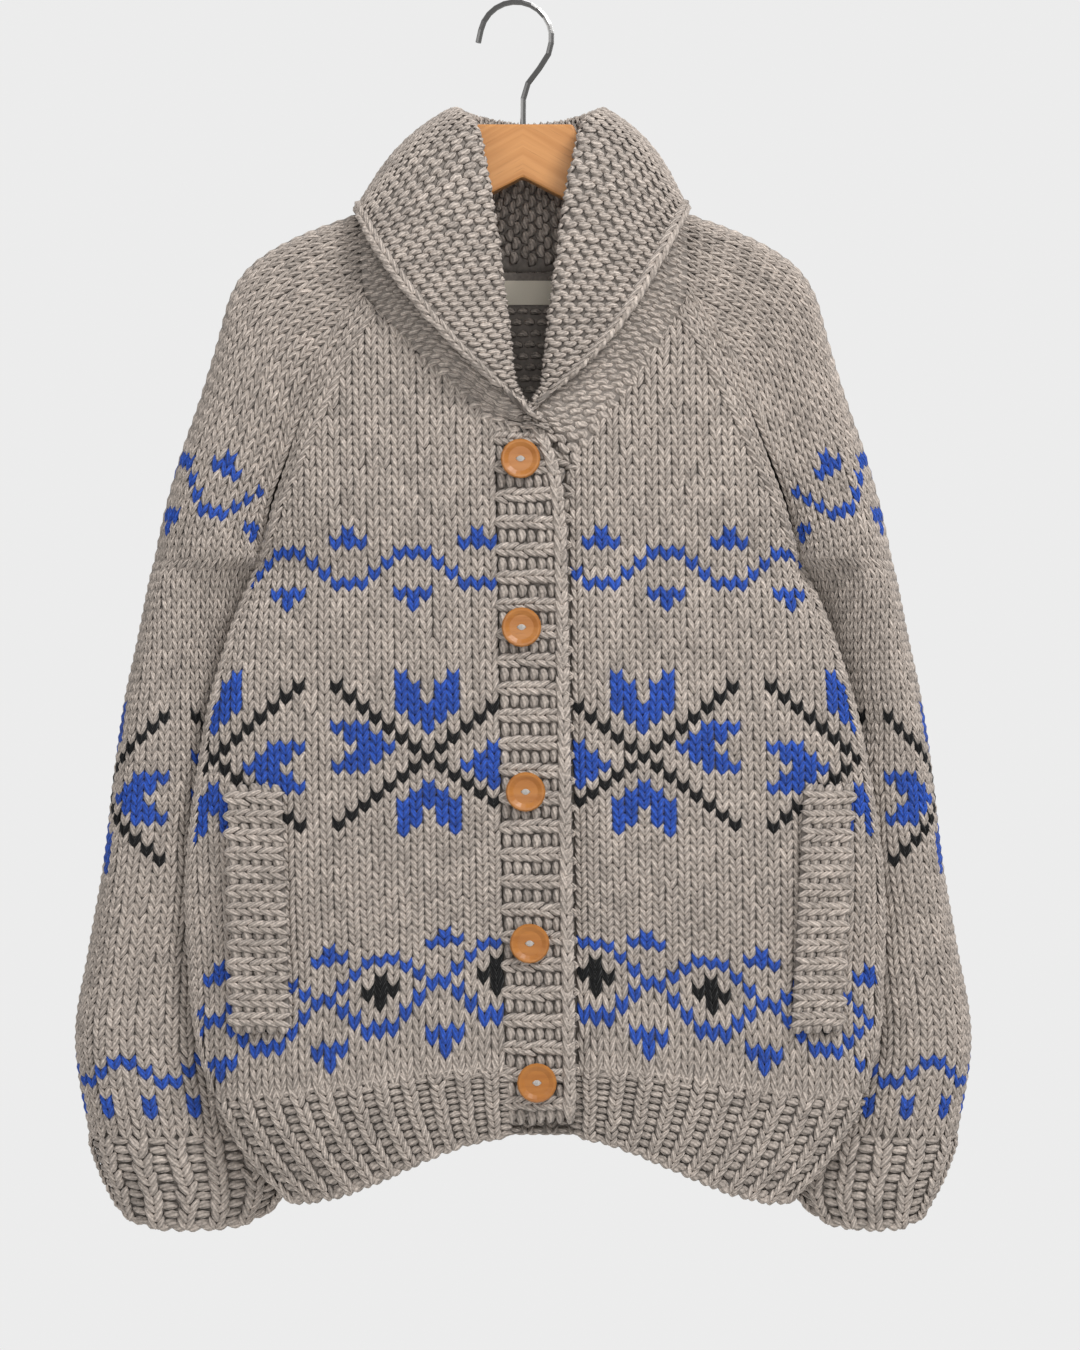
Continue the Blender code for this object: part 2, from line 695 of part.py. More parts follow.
def body_front_y(x, z):
    """Depth of the front's outer surface at a distance from the centre line."""
    low, high = HEM_Z, UNDERARM_Z
    for _ in range(30):
        middle = (low + high) / 2
        section = body_section(middle, "front")
        if np.interp(x, section[:, 0], section[:, 2]) < z:
            low = middle
        else:
            high = middle
    return float(np.interp(x, section[:, 0], section[:, 1]))


def front_depth(z):
    """Depth of the front at the centre, by height there."""
    if z > UNDERARM_Z:
        return float(BODY.at(z, "front"))
    keys = BODY.values[:, BODY.names.index("front_z")]
    side_z = np.interp(z, keys, BODY.values[:, 0])
    return float(BODY.at(side_z, "front"))


def buttonhole_band(sewn_top, skin, home):
    """The right front's band, ribs across it, its free edge on the wearer's left."""
    shares, raised = rib_columns(BAND_RIBS)
    top_z = sewn_top[2]
    rows = []
    for z in BAND_END_Z + shares * (top_z - BAND_END_Z):
        sewn_x = lean(z) - float(FRONT_EDGE.at(z, "right")) + SEAM_GAP
        free_x = lean(z) + BAND_SHIFT + BAND_HALF
        if z > BAND_FREE.values[0, 0]:
            free_x = min(free_x, float(BAND_FREE.at(z, "x")))
        x = np.linspace(sewn_x, free_x, BAND_COLUMNS + 1)
        forward = BAND_FORWARD * soft_step((x - sewn_x) / BAND_FORWARD_WIDTH)
        rows.append(np.stack([x, -front_depth(z) - forward, np.full_like(x, z)], axis=1))
    base = np.array(rows)
    way = np.broadcast_to(np.array([0.0, 1.0, 0.0]), base.shape)
    heights = raised[:, None] * np.array(BAND_RIB_SHARES) * RIB_HEIGHT
    ribbed("buttonhole_band", base, way, heights, skin, home)


def button_band(sewn_top, skin, home):
    """The left front's band, behind the other, sewn to the left front's edge."""
    shares, raised = rib_columns(BAND_RIBS)
    rows = []
    top_z = sewn_top[2]
    for share in shares:
        z = UNDER_BAND_END_Z + share * (top_z - UNDER_BAND_END_Z)
        sewn_x = lean(z) + float(FRONT_EDGE.at(z, "left")) - SEAM_GAP
        late = (share - UNDER_BAND_RISE_FROM) / (1 - UNDER_BAND_RISE_FROM)
        free_z = z + UNDER_BAND_RISE * soft_step(late)
        free_x = lean(z) + BAND_SHIFT - BAND_HALF + UNDER_BAND_SHORT
        if free_z > UNDER_FREE.values[0, 0]:
            free_x = max(free_x, float(UNDER_FREE.at(free_z, "x")))
        x = np.linspace(free_x, sewn_x, BAND_COLUMNS + 1)
        heights_z = np.linspace(free_z, z, BAND_COLUMNS + 1)
        y = -np.array([front_depth(h) for h in heights_z]) + UNDER_BAND_BACK
        y[-1] = -front_depth(z) + LEFT_TUCK
        rows.append(np.stack([x, y, heights_z], axis=1))
    base = np.array(rows)
    way = np.broadcast_to(np.array([0.0, 1.0, 0.0]), base.shape)
    heights = raised[:, None] * np.array(UNDER_BAND_RIB_SHARES) * UNDER_BAND_RIB
    ribbed("button_band", base, way, heights, skin, home, UNDER_BAND_WALL)


def collar_stations(panels):
    """Outer and inner seam points from the wearer's right round the back to the left, and
    the direction in which the collar leaves each."""
    outs, ins, aways = [], [], []

    def keep(outer, inner, before):
        outs.append(outer)
        ins.append(inner)
        aways.append(unit(outer - before))

    def front(side, first):
        outer, inner = panels["front", side]
        rows = [LOW_ROWS + i for i in range(first, YOKE_ROWS)]
        return [(outer[r, 0], inner[r, 0], outer[r, 1]) for r in rows]

    def sleeve(side):
        outer, inner = panels["sleeve", side]
        columns = range(0, RING_COLUMNS + 1, RING_COLUMNS // 4)
        return [(outer[-1, c], inner[-1, c], outer[-2, c]) for c in columns]

    outer, inner = panels["back"]
    back = [(outer[-1, c], inner[-1, c], outer[-2, c]) for c in range(2, 2 * HALF_COLUMNS, 2)]
    for station in front(-1, RIGHT_COLLAR_ROW) + sleeve(-1) + back:
        keep(*station)
    for station in sleeve(1)[::-1] + front(1, LEFT_COLLAR_ROW)[::-1]:
        keep(*station)
    outs, ins, aways = (np.array(v) for v in (outs, ins, aways))
    along = unit(np.gradient(outs, axis=0))
    aways = unit(aways - along * np.sum(aways * along, axis=1, keepdims=True))
    smoothed = aways.copy()
    smoothed[1:-1] = unit(aways[:-2] + 2 * aways[1:-1] + aways[2:])
    return outs, ins, smoothed


def collar(panels, skin, home):
    outs, ins, aways = collar_stations(panels)
    length = np.concatenate([[0], np.cumsum(np.linalg.norm(np.diff(outs, axis=0), axis=1))])
    centre = int(np.argmin(np.abs(outs[:, 0] - lean(outs[:, 2])) + 10 * (outs[:, 1] < 0)))
    middle = length[centre]
    share = np.where(length <= middle, length / middle, (length[-1] - length) / (length[-1] - middle))
    side = np.where(length <= middle, -1.0, 1.0)
    get = {n: COLLAR.at(share, n) for n in COLLAR.names[1:]}
    late = soft_step((share - 0.2) / 0.25)
    edge_centre = FOLD_CENTRE + (EDGE_CENTRE - FOLD_CENTRE) * late
    behind = np.where(side > 0, LEFT_END_BACK * (1 - soft_step((share - 0.1) / 0.25)), 0.0)
    fold = np.stack([FOLD_CENTRE + side * get["fold_half"], get["fold_y"] + behind, get["fold_z"]], axis=1)
    edge = np.stack([edge_centre + side * get["edge_half"], get["edge_y"] + behind, get["edge_z"]], axis=1)
    seam = (outs + ins) / 2 + aways * SEAM_CLEARANCE
    tip = unit(unit(fold - edge) + unit(fold - seam))
    along = unit(np.gradient(fold, axis=0))
    along[0], along[-1] = (0, 0, 1), (0, 0, -1)
    tip = unit(tip - along * np.sum(tip * along, axis=1, keepdims=True))
    over = unit(np.cross(tip, along))
    rows = []
    for i in range(len(outs)):
        hinge = fold[i] - tip[i] * FOLD_RADIUS
        under, upper = hinge - over[i] * FOLD_RADIUS, hinge + over[i] * FOLD_RADIUS
        reach = np.linalg.norm(under - seam[i])
        stand = bezier(seam[i], seam[i] + aways[i] * reach * 0.35, under - tip[i] * reach * 0.3, under)
        turn = np.linspace(-math.pi / 2, math.pi / 2, FOLD_CELLS + 1)[1:-1, None]
        bend = hinge + FOLD_RADIUS * (np.cos(turn) * tip[i] + np.sin(turn) * over[i])
        drop = np.linalg.norm(edge[i] - upper)
        outward = over[i] * get["bulge"][i] * 4 / 3
        fall = bezier(
            upper,
            upper - tip[i] * drop * 0.33 + outward,
            upper + (edge[i] - upper) * 0.67 + outward,
            edge[i],
        )
        rows.append(np.concatenate([even(stand, STAND_CELLS), bend, even(fall, FALL_CELLS)]))
    middle_grid = np.array(rows)
    way = unit(np.cross(np.gradient(middle_grid, axis=0), np.gradient(middle_grid, axis=1)))
    way *= np.sign(np.sum(way[:, 0] * (ins - outs), axis=1))[:, None, None]
    thick = np.full(middle_grid.shape[:2], WALL / 2)
    thick[:, -2:] += CHAIN_EDGE
    hidden = middle_grid - way * WALL / 2
    shown = middle_grid + way * thick[..., None]
    hidden[:, 0] = outs + aways * SEAM_CLEARANCE
    shown[:, 0] = ins + aways * SEAM_CLEARANCE
    wall("collar", hidden, shown, skin, home)


def welt(name, side, near_top, far_top, near_end, far_end, skin, home):
    """A ribbed strip over the pocket's slit, made from the front's points moved out."""
    shares, raised = rib_columns(WELT_RIBS)
    rows = []
    for share in shares:
        z = WELT_END_Z + share * (WELT_TOP_Z - WELT_END_Z)
        near = near_end + share * (near_top - near_end)
        far = far_end + share * (far_top - far_end)
        rows.append([(x, body_front_y(x, z), z) for x in np.linspace(near, far, 3)])
    base = np.array(rows)
    way = inward(base)
    base = base - way * (SEAM_GAP + WELT_RISE)
    heights = raised[:, None] * np.ones(3) * WELT_RIB
    ribbed(name, placed(base, side), mirrored(way, side), heights, skin, home, WELT_RISE)


def profile_mesh(name, profile):
    """The open edge that a button is turned from, at +X."""
    mesh = bpy.data.meshes.new(name)
    mesh.from_pydata([(x, 0, z) for x, z in profile], [(i, i + 1) for i in range(len(profile) - 1)], [])
    return mesh


def button(number, x, z, depth, skin, home, cutters):
    """A dished button with two holes, facing the front."""
    profile = [(r * BUTTON_RADIUS, h * BUTTON_THICK) for r, h in BUTTON_PROFILE]
    name = f"button_{number}"
    made = add_object(name, profile_mesh(name, profile), skin, home)
    turn = made.modifiers.new("turn", "SCREW")
    turn.steps = BUTTON_STEPS
    turn.render_steps = BUTTON_STEPS
    turn.use_merge_vertices = True
    turn.merge_threshold = 0.00001
    turn.use_smooth_shade = True
    place = Matrix.Translation(Vector((x, -depth, z))) @ Matrix.Rotation(math.radians(90), 4, "X")
    made.matrix_world = place
    for way in (-1, 1):
        mesh = bpy.data.meshes.new(f"hole_{number}_{way}")
        bm = bmesh.new()
        bmesh.ops.create_cone(
            bm, cap_ends=True, segments=8, radius1=HOLE_RADIUS, radius2=HOLE_RADIUS, depth=4 * BUTTON_THICK
        )
        bm.to_mesh(mesh)
        bm.free()
        cutter = bpy.data.objects.new(mesh.name, mesh)
        cutters.objects.link(cutter)
        cutter.hide_render = True
        cutter.display_type = "WIRE"
        cutter.matrix_world = place @ Matrix.Translation((way * HOLE_APART / 2, 0, 0))
        cut = made.modifiers.new(f"hole {way}", "BOOLEAN")
        cut.object = cutter
        cut.operation = "DIFFERENCE"


def label(back_inner, skin, home):
    """A small woven label inside the back, just below the collar seam."""
    rows = []
    for z in (LABEL_END_Z, LABEL_TOP_Z):
        row = []
        for x in np.linspace(LABEL_MIDDLE_X - LABEL_HALF, LABEL_MIDDLE_X + LABEL_HALF, 5):
            row.append((x, surface_y(back_inner, x, z) - SEAM_GAP, z))
        rows.append(row)
    outer = np.array(rows)
    inner = outer - np.array([0, LABEL_THICK, 0])
    wall("neck_label", outer, inner, skin, home)


def surface_y(grid, x, z):
    """Depth of a grid of points at x and z."""
    at_row = []
    for row in grid:
        at_row.append((np.interp(x, row[:, 0], row[:, 2]), np.interp(x, row[:, 0], row[:, 1])))
    heights, depths = np.array(at_row).T
    return float(np.interp(z, heights, depths))


def hanger_outline(panels):
    """The board's outline: head, arms that lie under the shoulders, notch below."""
    top = []
    for side in (1, -1):
        outer, inner = panels["sleeve", side]
        ridge = inner[:, RING_COLUMNS // 2]
        shares = np.linspace(0, 1, YOKE_ROWS + 1)
        rows = [len(SLEEVE_ROWS_Z) + i for i, s in enumerate(shares) if HANGER_ARM_FROM <= s < 1]
        arm = []
        for row in rows[::-1]:
            along = ridge[row + 1] - ridge[row - 1]
            below = unit(np.array([side * along[2], 0, -side * along[0]]))
            below *= -np.sign(below[2])
            arm.append(ridge[row] + below * HANGER_ARM_REST)
        top.append([(p[0], p[2]) for p in arm])
    right = [(HANGER_HEAD_HALF, HANGER_TOP_Z), *HANGER_NECK, *top[0], *HANGER_UNDER]
    left = [(-HANGER_HEAD_HALF, HANGER_TOP_Z), *((-x, z) for x, z in HANGER_NECK), *top[1]]
    left += [(-x, z) for x, z in HANGER_UNDER]
    return right + [(0.0, HANGER_NOTCH_Z)] + left[::-1]


def hanger(panels, skin, home, cutters):
    curve = bpy.data.curves.new("hanger", "CURVE")
    curve.dimensions = "2D"
    curve.fill_mode = "BOTH"
    curve.extrude = HANGER_THICK / 2
    outline = hanger_outline(panels)
    spline = curve.splines.new("POLY")
    spline.points.add(len(outline) - 1)
    for point, (x, z) in zip(spline.points, outline):
        point.co = (x, z, 0, 1)
    spline.use_cyclic_u = True
    flat = bpy.data.objects.new("hanger_flat", curve)
    home.objects.link(flat)
    flat.matrix_world = Matrix.Rotation(math.radians(90), 4, "X")
    bpy.context.view_layer.update()
    graph = bpy.context.evaluated_depsgraph_get()
    mesh = bpy.data.meshes.new_from_object(flat.evaluated_get(graph))
    mesh.name = "hanger"
    bm = bmesh.new()
    bm.from_mesh(mesh)
    bmesh.ops.remove_doubles(bm, verts=bm.verts, dist=0.00001)
    bm.to_mesh(mesh)
    bm.free()
    mesh.materials.clear()
    made = add_object("hanger", mesh, skin, home)
    made.matrix_world = flat.matrix_world.copy()
    bpy.data.objects.remove(flat)
    edge = made.modifiers.new("edge", "BEVEL")
    edge.width = HANGER_EDGE
    edge.segments = 2
    edge.limit_method = "ANGLE"
    edge.angle_limit = math.radians(40)
    bore_mesh = bpy.data.meshes.new("hook_bore")
    bm = bmesh.new()
    radius = WIRE_RADIUS + SEAM_GAP
    bmesh.ops.create_cone(bm, cap_ends=True, segments=12, radius1=radius, radius2=radius, depth=0.04)
    bm.to_mesh(bore_mesh)
    bm.free()
    bore = bpy.data.objects.new("hook_bore", bore_mesh)
    cutters.objects.link(bore)
    bore.hide_render = True
    bore.display_type = "WIRE"
    bore.location = (0, 0, HOOK_SHAFT_END_Z - SEAM_GAP + 0.02)
    cut = made.modifiers.new("hook bore", "BOOLEAN")
    cut.object = bore
    cut.operation = "DIFFERENCE"


def hook(skin, home):
    """Bent wire: a shaft from the board, a crank, and the arc that hangs on the rail."""
    inner = HOOK_RADIUS - WIRE_RADIUS
    middle_z = -math.sqrt(inner**2 - HOOK_MIDDLE_X**2)
    points = [(0.0, HOOK_SHAFT_END_Z), *HOOK_SHAFT]
    last = math.radians(168)
    for turn in np.linspace(math.radians(-8), last, 13):
        points.append((HOOK_MIDDLE_X + HOOK_RADIUS * math.cos(turn), middle_z + HOOK_RADIUS * math.sin(turn)))
    end_x, end_z = points[-1]
    points.append((end_x - math.sin(last) * HOOK_TIP, end_z + math.cos(last) * HOOK_TIP))
    curve = bpy.data.curves.new("hanger_hook", "CURVE")
    curve.dimensions = "3D"
    curve.bevel_depth = WIRE_RADIUS
    curve.bevel_resolution = 2
    curve.use_fill_caps = True
    spline = curve.splines.new("POLY")
    spline.points.add(len(points) - 1)
    for point, (x, z) in zip(spline.points, points):
        point.co = (x, 0, z, 1)
    curve.materials.append(skin)
    made = bpy.data.objects.new("hanger_hook", curve)
    home.objects.link(made)


def clear_scene():
    for old in list(bpy.data.objects):
        bpy.data.objects.remove(old)


def collection(name):
    made = bpy.data.collections.new(name)
    bpy.context.scene.collection.children.link(made)
    return made


def build():
    clear_scene()
    home = collection("cardigan")
    cutters = collection("cutters")
    wool = material("grey wool", (0.36, 0.33, 0.31), 0.95)
    beech = material("beech", (0.80, 0.50, 0.27), 0.45)
    button_wood = material("button wood", (0.78, 0.42, 0.18), 0.35)
    steel = material("brushed steel", (0.62, 0.62, 0.63), 0.25, 1.0)
    tape = material("woven tape", (0.78, 0.74, 0.64), 0.8)

    panels = {}
    for side, hand in ((-1, "right"), (1, "left")):
        grid, way = front_rows(side)
        panels["front", side] = panel(f"{hand}_front", grid, way, side, wool, home)
        front_hem(side, f"{hand}_hem_rib", grid[0], wool, home)
        grid, way = sleeve_rows(side)
        panels["sleeve", side] = panel(f"{hand}_sleeve", grid, way, side, wool, home)
        cuff(side, f"{hand}_cuff", grid[0], wool, home)

    grid, way = back_half_rows()
    outer = np.concatenate([placed(grid[:, :0:-1], -1), placed(grid, 1)], axis=1)
    ways = np.concatenate([mirrored(way[:, :0:-1], -1), way], axis=1)
    inner = outer + ways * WALL
    wall("back", outer, inner, wool, home)
    panels["back"] = outer, inner
    back_hem("back_hem_rib", outer[0], wool, home)

    row = LOW_ROWS + RIGHT_COLLAR_ROW
    buttonhole_band(panels["front", -1][0][row, 0], wool, home)
    row = LOW_ROWS + LEFT_COLLAR_ROW
    button_band(panels["front", 1][0][row, 0], wool, home)
    collar(panels, wool, home)
    for hand, side, near_top, far_top, near_end, far_end in WELTS:
        welt(f"{hand}_pocket_welt", side, near_top, far_top, near_end, far_end, wool, home)

    for number, (x, z) in enumerate(BUTTON_PLACES, 1):
        deepest = max(front_depth(z - BUTTON_RADIUS), front_depth(z + BUTTON_RADIUS), front_depth(z))
        crest = deepest + BAND_FORWARD + RIB_HEIGHT + BUTTON_SEAT
        button(number, x, z, crest, button_wood, home, cutters)
    label(inner, tape, home)
    hanger(panels, beech, home, cutters)
    hook(steel, home)


build()
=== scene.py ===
import math

import bpy
import numpy as np
from mathutils import Matrix, Vector


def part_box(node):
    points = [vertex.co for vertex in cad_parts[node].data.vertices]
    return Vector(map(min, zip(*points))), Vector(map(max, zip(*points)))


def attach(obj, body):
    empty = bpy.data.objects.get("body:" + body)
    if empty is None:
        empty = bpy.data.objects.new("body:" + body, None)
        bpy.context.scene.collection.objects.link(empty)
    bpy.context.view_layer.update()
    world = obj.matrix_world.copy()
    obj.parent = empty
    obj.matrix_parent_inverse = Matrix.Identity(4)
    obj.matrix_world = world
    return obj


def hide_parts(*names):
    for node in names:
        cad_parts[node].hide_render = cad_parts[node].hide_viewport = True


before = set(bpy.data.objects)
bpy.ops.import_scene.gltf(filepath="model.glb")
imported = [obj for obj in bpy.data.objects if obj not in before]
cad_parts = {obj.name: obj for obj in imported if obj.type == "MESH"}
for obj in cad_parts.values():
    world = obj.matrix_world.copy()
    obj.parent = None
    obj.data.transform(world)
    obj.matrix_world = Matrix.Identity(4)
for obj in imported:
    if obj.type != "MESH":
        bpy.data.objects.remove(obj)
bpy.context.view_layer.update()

scene = bpy.context.scene
rng = np.random.default_rng(11)

# Metres, +Z up, the front faces -Y. Halves are worked out for the +X side and placed by a
# side of 1 or -1.


# Rows with named columns, read as smooth curves over the first column
class Table:
    def __init__(self, names, *rows):
        self.names = names.split()
        self.values = np.array(sorted(rows), float)

    def at(self, where, name):
        x = self.values[:, 0]
        y = self.values[:, self.names.index(name)]
        step = np.diff(x)
        rise = np.diff(y) / step
        slope = np.concatenate([rise[:1], np.zeros(len(rise) - 1), rise[-1:]])
        same = rise[:-1] * rise[1:] > 0
        total = np.where(same, rise[:-1] + rise[1:], 1.0)
        slope[1:-1] = np.where(same, 2 * rise[:-1] * rise[1:] / total, 0.0)
        where = np.clip(where, x[0], x[-1])
        i = np.clip(np.searchsorted(x, where) - 1, 0, len(step) - 1)
        t = (where - x[i]) / step[i]
        return (
            y[i] * (1 + 2 * t) * (1 - t) ** 2
            + y[i + 1] * t * t * (3 - 2 * t)
            + step[i] * (slope[i] * t * (1 - t) ** 2 - slope[i + 1] * t * t * (1 - t))
        )


# Cloth
wallThick = 0.005
seamGap = 0.0003
ribHeight = 0.0035

# Heights that several pieces share
underarmZ = -0.388
ribTopZ = -0.756
hemZ = -0.833
cuffTopZ = -0.790
cuffEndZ = -0.857
raglanFrontTopZ = -0.208
raglanBackTopZ = -0.175

# The body hangs a little off plumb
leanSlope = 0.0158
leanFromZ = -0.084

# Grid sizes, in cells
yokeRows = 10
halfColumns = 8
ringColumns = 16
denseCount = 120

# Body sections. sideZ is the height of a row at the side seam, frontZ and backZ its
# height at the centre, half the half width, front and back the depths at the centre.
bodyTable = Table(
    "sideZ frontZ backZ half front back sideY",
    (-0.833, -0.785, -0.795, 0.173, 0.047, 0.040, -0.014),
    (-0.800, -0.762, -0.770, 0.203, 0.052, 0.043, -0.017),
    (-0.756, -0.735, -0.742, 0.226, 0.055, 0.045, -0.020),
    (-0.700, -0.690, -0.694, 0.238, 0.057, 0.045, -0.021),
    (-0.626, -0.624, -0.625, 0.241, 0.057, 0.045, -0.021),
    (-0.510, -0.510, -0.510, 0.227, 0.055, 0.044, -0.020),
    (-0.440, -0.440, -0.440, 0.208, 0.053, 0.044, -0.014),
    (-0.388, -0.388, -0.388, 0.188, 0.051, 0.045, 0.000),
    (-0.300, -0.300, -0.300, 0.160, 0.049, 0.047, 0.000),
    (-0.208, -0.208, -0.208, 0.111, 0.044, 0.045, 0.000),
    (-0.175, -0.175, -0.175, 0.100, 0.042, 0.042, 0.000),
)
frontBow = 0.62
sideRound = 0.55
backSideHandle = 0.007
backBow = 0.58
hemCurveStart = 0.1
yokeLeave = 0.55
yokeArrive = 0.32
yokeArriveLow = 0.12
backNeckDip = 0.007

# Inner edges of the two fronts, measured from the leaning centre line: the band's seam,
# then the neckline. right is the wearer's right.
frontEdge = Table(
    "z right left",
    (-0.833, 0.0225, 0.0275),
    (-0.388, 0.0225, 0.0275),
    (-0.346, 0.0225, 0.0300),
    (-0.325, 0.0225, 0.0345),
    (-0.305, 0.0235, 0.0450),
    (-0.297, 0.0265, 0.0505),
    (-0.273, 0.0500, 0.0690),
    (-0.248, 0.0747, 0.0870),
    (-0.226, 0.0950, 0.1010),
    (-0.208, 0.1104, 0.1104),
)
leftTuck = 0.005
leftTuckWidth = 0.022
leftTuckFade = 0.06

# Raglan seams, from the underarm (share 0) to the collar (share 1). ridge is the line
# over the top of the shoulder and down the outside of the arm.
raglanTable = Table(
    "share frontX frontY backX backY",
    (0.0, 0.188, 0.000, 0.188, 0.000),
    (0.1, 0.1835, -0.010, 0.1825, 0.011),
    (0.2, 0.179, -0.018, 0.176, 0.020),
    (0.35, 0.169, -0.027, 0.164, 0.031),
    (0.5, 0.159, -0.033, 0.150, 0.037),
    (0.65, 0.147, -0.036, 0.135, 0.039),
    (0.8, 0.134, -0.037, 0.118, 0.039),
    (1.0, 0.111, -0.036, 0.095, 0.038),
)
ridgeTable = Table(
    "share x y z",
    (0.00, 0.258, 0.015, -0.388),
    (0.10, 0.252, 0.014, -0.360),
    (0.24, 0.240, 0.012, -0.318),
    (0.39, 0.225, 0.009, -0.276),
    (0.53, 0.212, 0.005, -0.234),
    (0.64, 0.2035, 0.002, -0.204),
    (0.71, 0.193, 0.000, -0.187),
    (0.78, 0.177, 0.000, -0.174),
    (0.87, 0.152, 0.000, -0.161),
    (1.00, 0.114, 0.000, -0.147),
)
capTable = Table(
    "share frontIn frontOut backOut backIn",
    (0.00, 0.050, 0.050, 0.060, 0.060),
    (0.25, 0.034, 0.050, 0.052, 0.040),
    (0.50, 0.030, 0.046, 0.046, 0.034),
    (0.75, 0.028, 0.032, 0.034, 0.028),
    (1.00, 0.024, 0.022, 0.022, 0.018),
)
valleyEnd = 0.62
surfaceTurn = math.radians(18)

# Sleeve rings below the underarm, and the cuff. inner is the side that faces the body.
sleeveTable = Table(
    "z outerX outerY innerX innerY frontIn frontOut backOut backIn",
    (-0.857, 0.285, 0.030, 0.190, 0.034, 0.026, 0.040, 0.032, 0.026),
    (-0.830, 0.296, 0.030, 0.176, 0.036, 0.032, 0.058, 0.040, 0.032),
    (-0.790, 0.306, 0.029, 0.181, 0.040, 0.034, 0.084, 0.046, 0.034),
    (-0.724, 0.315, 0.028, 0.189, 0.044, 0.032, 0.106, 0.050, 0.035),
    (-0.660, 0.305, 0.027, 0.193, 0.045, 0.030, 0.110, 0.050, 0.035),
    (-0.598, 0.294, 0.025, 0.195, 0.045, 0.030, 0.108, 0.050, 0.035),
    (-0.540, 0.287, 0.023, 0.198, 0.042, 0.030, 0.104, 0.050, 0.036),
    (-0.486, 0.279, 0.021, 0.203, 0.037, 0.030, 0.098, 0.050, 0.038),
    (-0.445, 0.270, 0.019, 0.203, 0.029, 0.026, 0.090, 0.052, 0.042),
    (-0.415, 0.264, 0.017, 0.1975, 0.018, 0.018, 0.083, 0.055, 0.048),
    (-0.400, 0.261, 0.016, 0.1930, 0.009, 0.022, 0.072, 0.058, 0.055),
    (-0.388, 0.258, 0.015, 0.188, 0.000, 0.050, 0.050, 0.060, 0.060),
)
cuffCorner = 0.013

# Ribs: how many in each piece
frontHemRibs = 11
backHemRibs = 23
cuffRibs = 13
bandRibs = 25
weltRibs = 13

# Front bands. The buttonhole band is on the wearer's right and lies over the button band.
bandHalf = 0.0235
bandShift = 0.001
bandEndZ = -0.770
bandForward = 0.0012
bandForwardWidth = 0.012
underBandEndZ = -0.766
underBandRib = 0.002
underBandBack = 0.0085
underBandShort = 0.004
underBandRise = 0.018
underBandRiseFrom = 0.85
rightCollarRow = 5
leftCollarRow = 4
bandFree = Table(
    "z x",
    (-0.402, 0.0294),
    (-0.360, 0.0280),
    (-0.339, 0.0259),
    (-0.322, 0.0224),
    (-0.306, 0.0155),
    (-0.298, 0.0120),
)
underFree = Table(
    "z x",
    (-0.365, -0.0140),
    (-0.345, -0.0125),
    (-0.325, -0.0095),
    (-0.300, -0.0035),
)

# Collar, from the front end (share 0) to the centre back (share 1) along its seam. fold
# is where it turns over, edge its free edge, each as a half width from a centre.
collarTable = Table(
    "share foldHalf foldY foldZ edgeHalf edgeY edgeZ bulge",
    (0.00, -0.0080, -0.0540, -0.2940, -0.0020, -0.0600, -0.2925, 0.000),
    (0.07, 0.0028, -0.0560, -0.2825, 0.0085, -0.0620, -0.2800, 0.000),
    (0.14, 0.0098, -0.0560, -0.2700, 0.0265, -0.0640, -0.2660, 0.001),
    (0.22, 0.0127, -0.0540, -0.2470, 0.0510, -0.0650, -0.2440, 0.002),
    (0.30, 0.0161, -0.0490, -0.2150, 0.0740, -0.0630, -0.2175, 0.003),
    (0.372, 0.0203, -0.0430, -0.1850, 0.0895, -0.0580, -0.1955, 0.004),
    (0.44, 0.0245, -0.0370, -0.1530, 0.1010, -0.0510, -0.1760, 0.005),
    (0.50, 0.0287, -0.0310, -0.1220, 0.1085, -0.0420, -0.1610, 0.006),
    (0.54, 0.0345, -0.0270, -0.0960, 0.1125, -0.0280, -0.1510, 0.007),
    (0.59, 0.0470, -0.0080, -0.0740, 0.1150, -0.0030, -0.1415, 0.010),
    (0.65, 0.0490, 0.0120, -0.0730, 0.1080, 0.0330, -0.1480, 0.010),
    (0.73, 0.0390, 0.0270, -0.0735, 0.0880, 0.0560, -0.1670, 0.008),
    (0.85, 0.0210, 0.0370, -0.0760, 0.0480, 0.0680, -0.1830, 0.006),
    (1.00, 0.0000, 0.0400, -0.0790, 0.0000, 0.0720, -0.1880, 0.006),
)
foldCentre = 0.004
edgeCentre = -0.001
foldRadius = 0.004
seamClearance = 0.0008
leftEndBack = 0.0065
standCells = 6
foldCells = 4
fallCells = 6

# Pocket welts: the near and far edges at the top and bottom, from the centre line
weltTopZ = -0.547
weltEndZ = -0.710
weltRise = 0.006
weltRib = 0.0028
weltPlaces = (
    ("right", -1, 0.172, 0.209, 0.169, 0.208),
    ("left", 1, 0.185, 0.218, 0.174, 0.208),
)
buttonPlaces = (
    (-0.0014, -0.321),
    (-0.0007, -0.436),
    (0.0021, -0.548),
    (0.0049, -0.651),
    (0.0098, -0.746),
)


def lean(z):
    return leanSlope * (leanFromZ - z)


def unit(vectors):
    return vectors / np.linalg.norm(vectors, axis=-1, keepdims=True)


def softStep(t):
    t = np.clip(t, 0.0, 1.0)
    return t * t * (3 - 2 * t)


def bezier(a, b, c, d, count=denseCount):
    t = np.linspace(0, 1, count + 1)[:, None]
    a, b, c, d = (np.asarray(p, float) for p in (a, b, c, d))
    return a * (1 - t) ** 3 + 3 * b * t * (1 - t) ** 2 + 3 * c * t * t * (1 - t) + d * t**3


# Points at the given shares of a polyline's length
def atShares(points, shares):
    length = np.concatenate([[0], np.cumsum(np.linalg.norm(np.diff(points, axis=0), axis=1))])
    where = np.asarray(shares) * length[-1]
    return np.stack([np.interp(where, length, points[:, i]) for i in range(3)], axis=1)


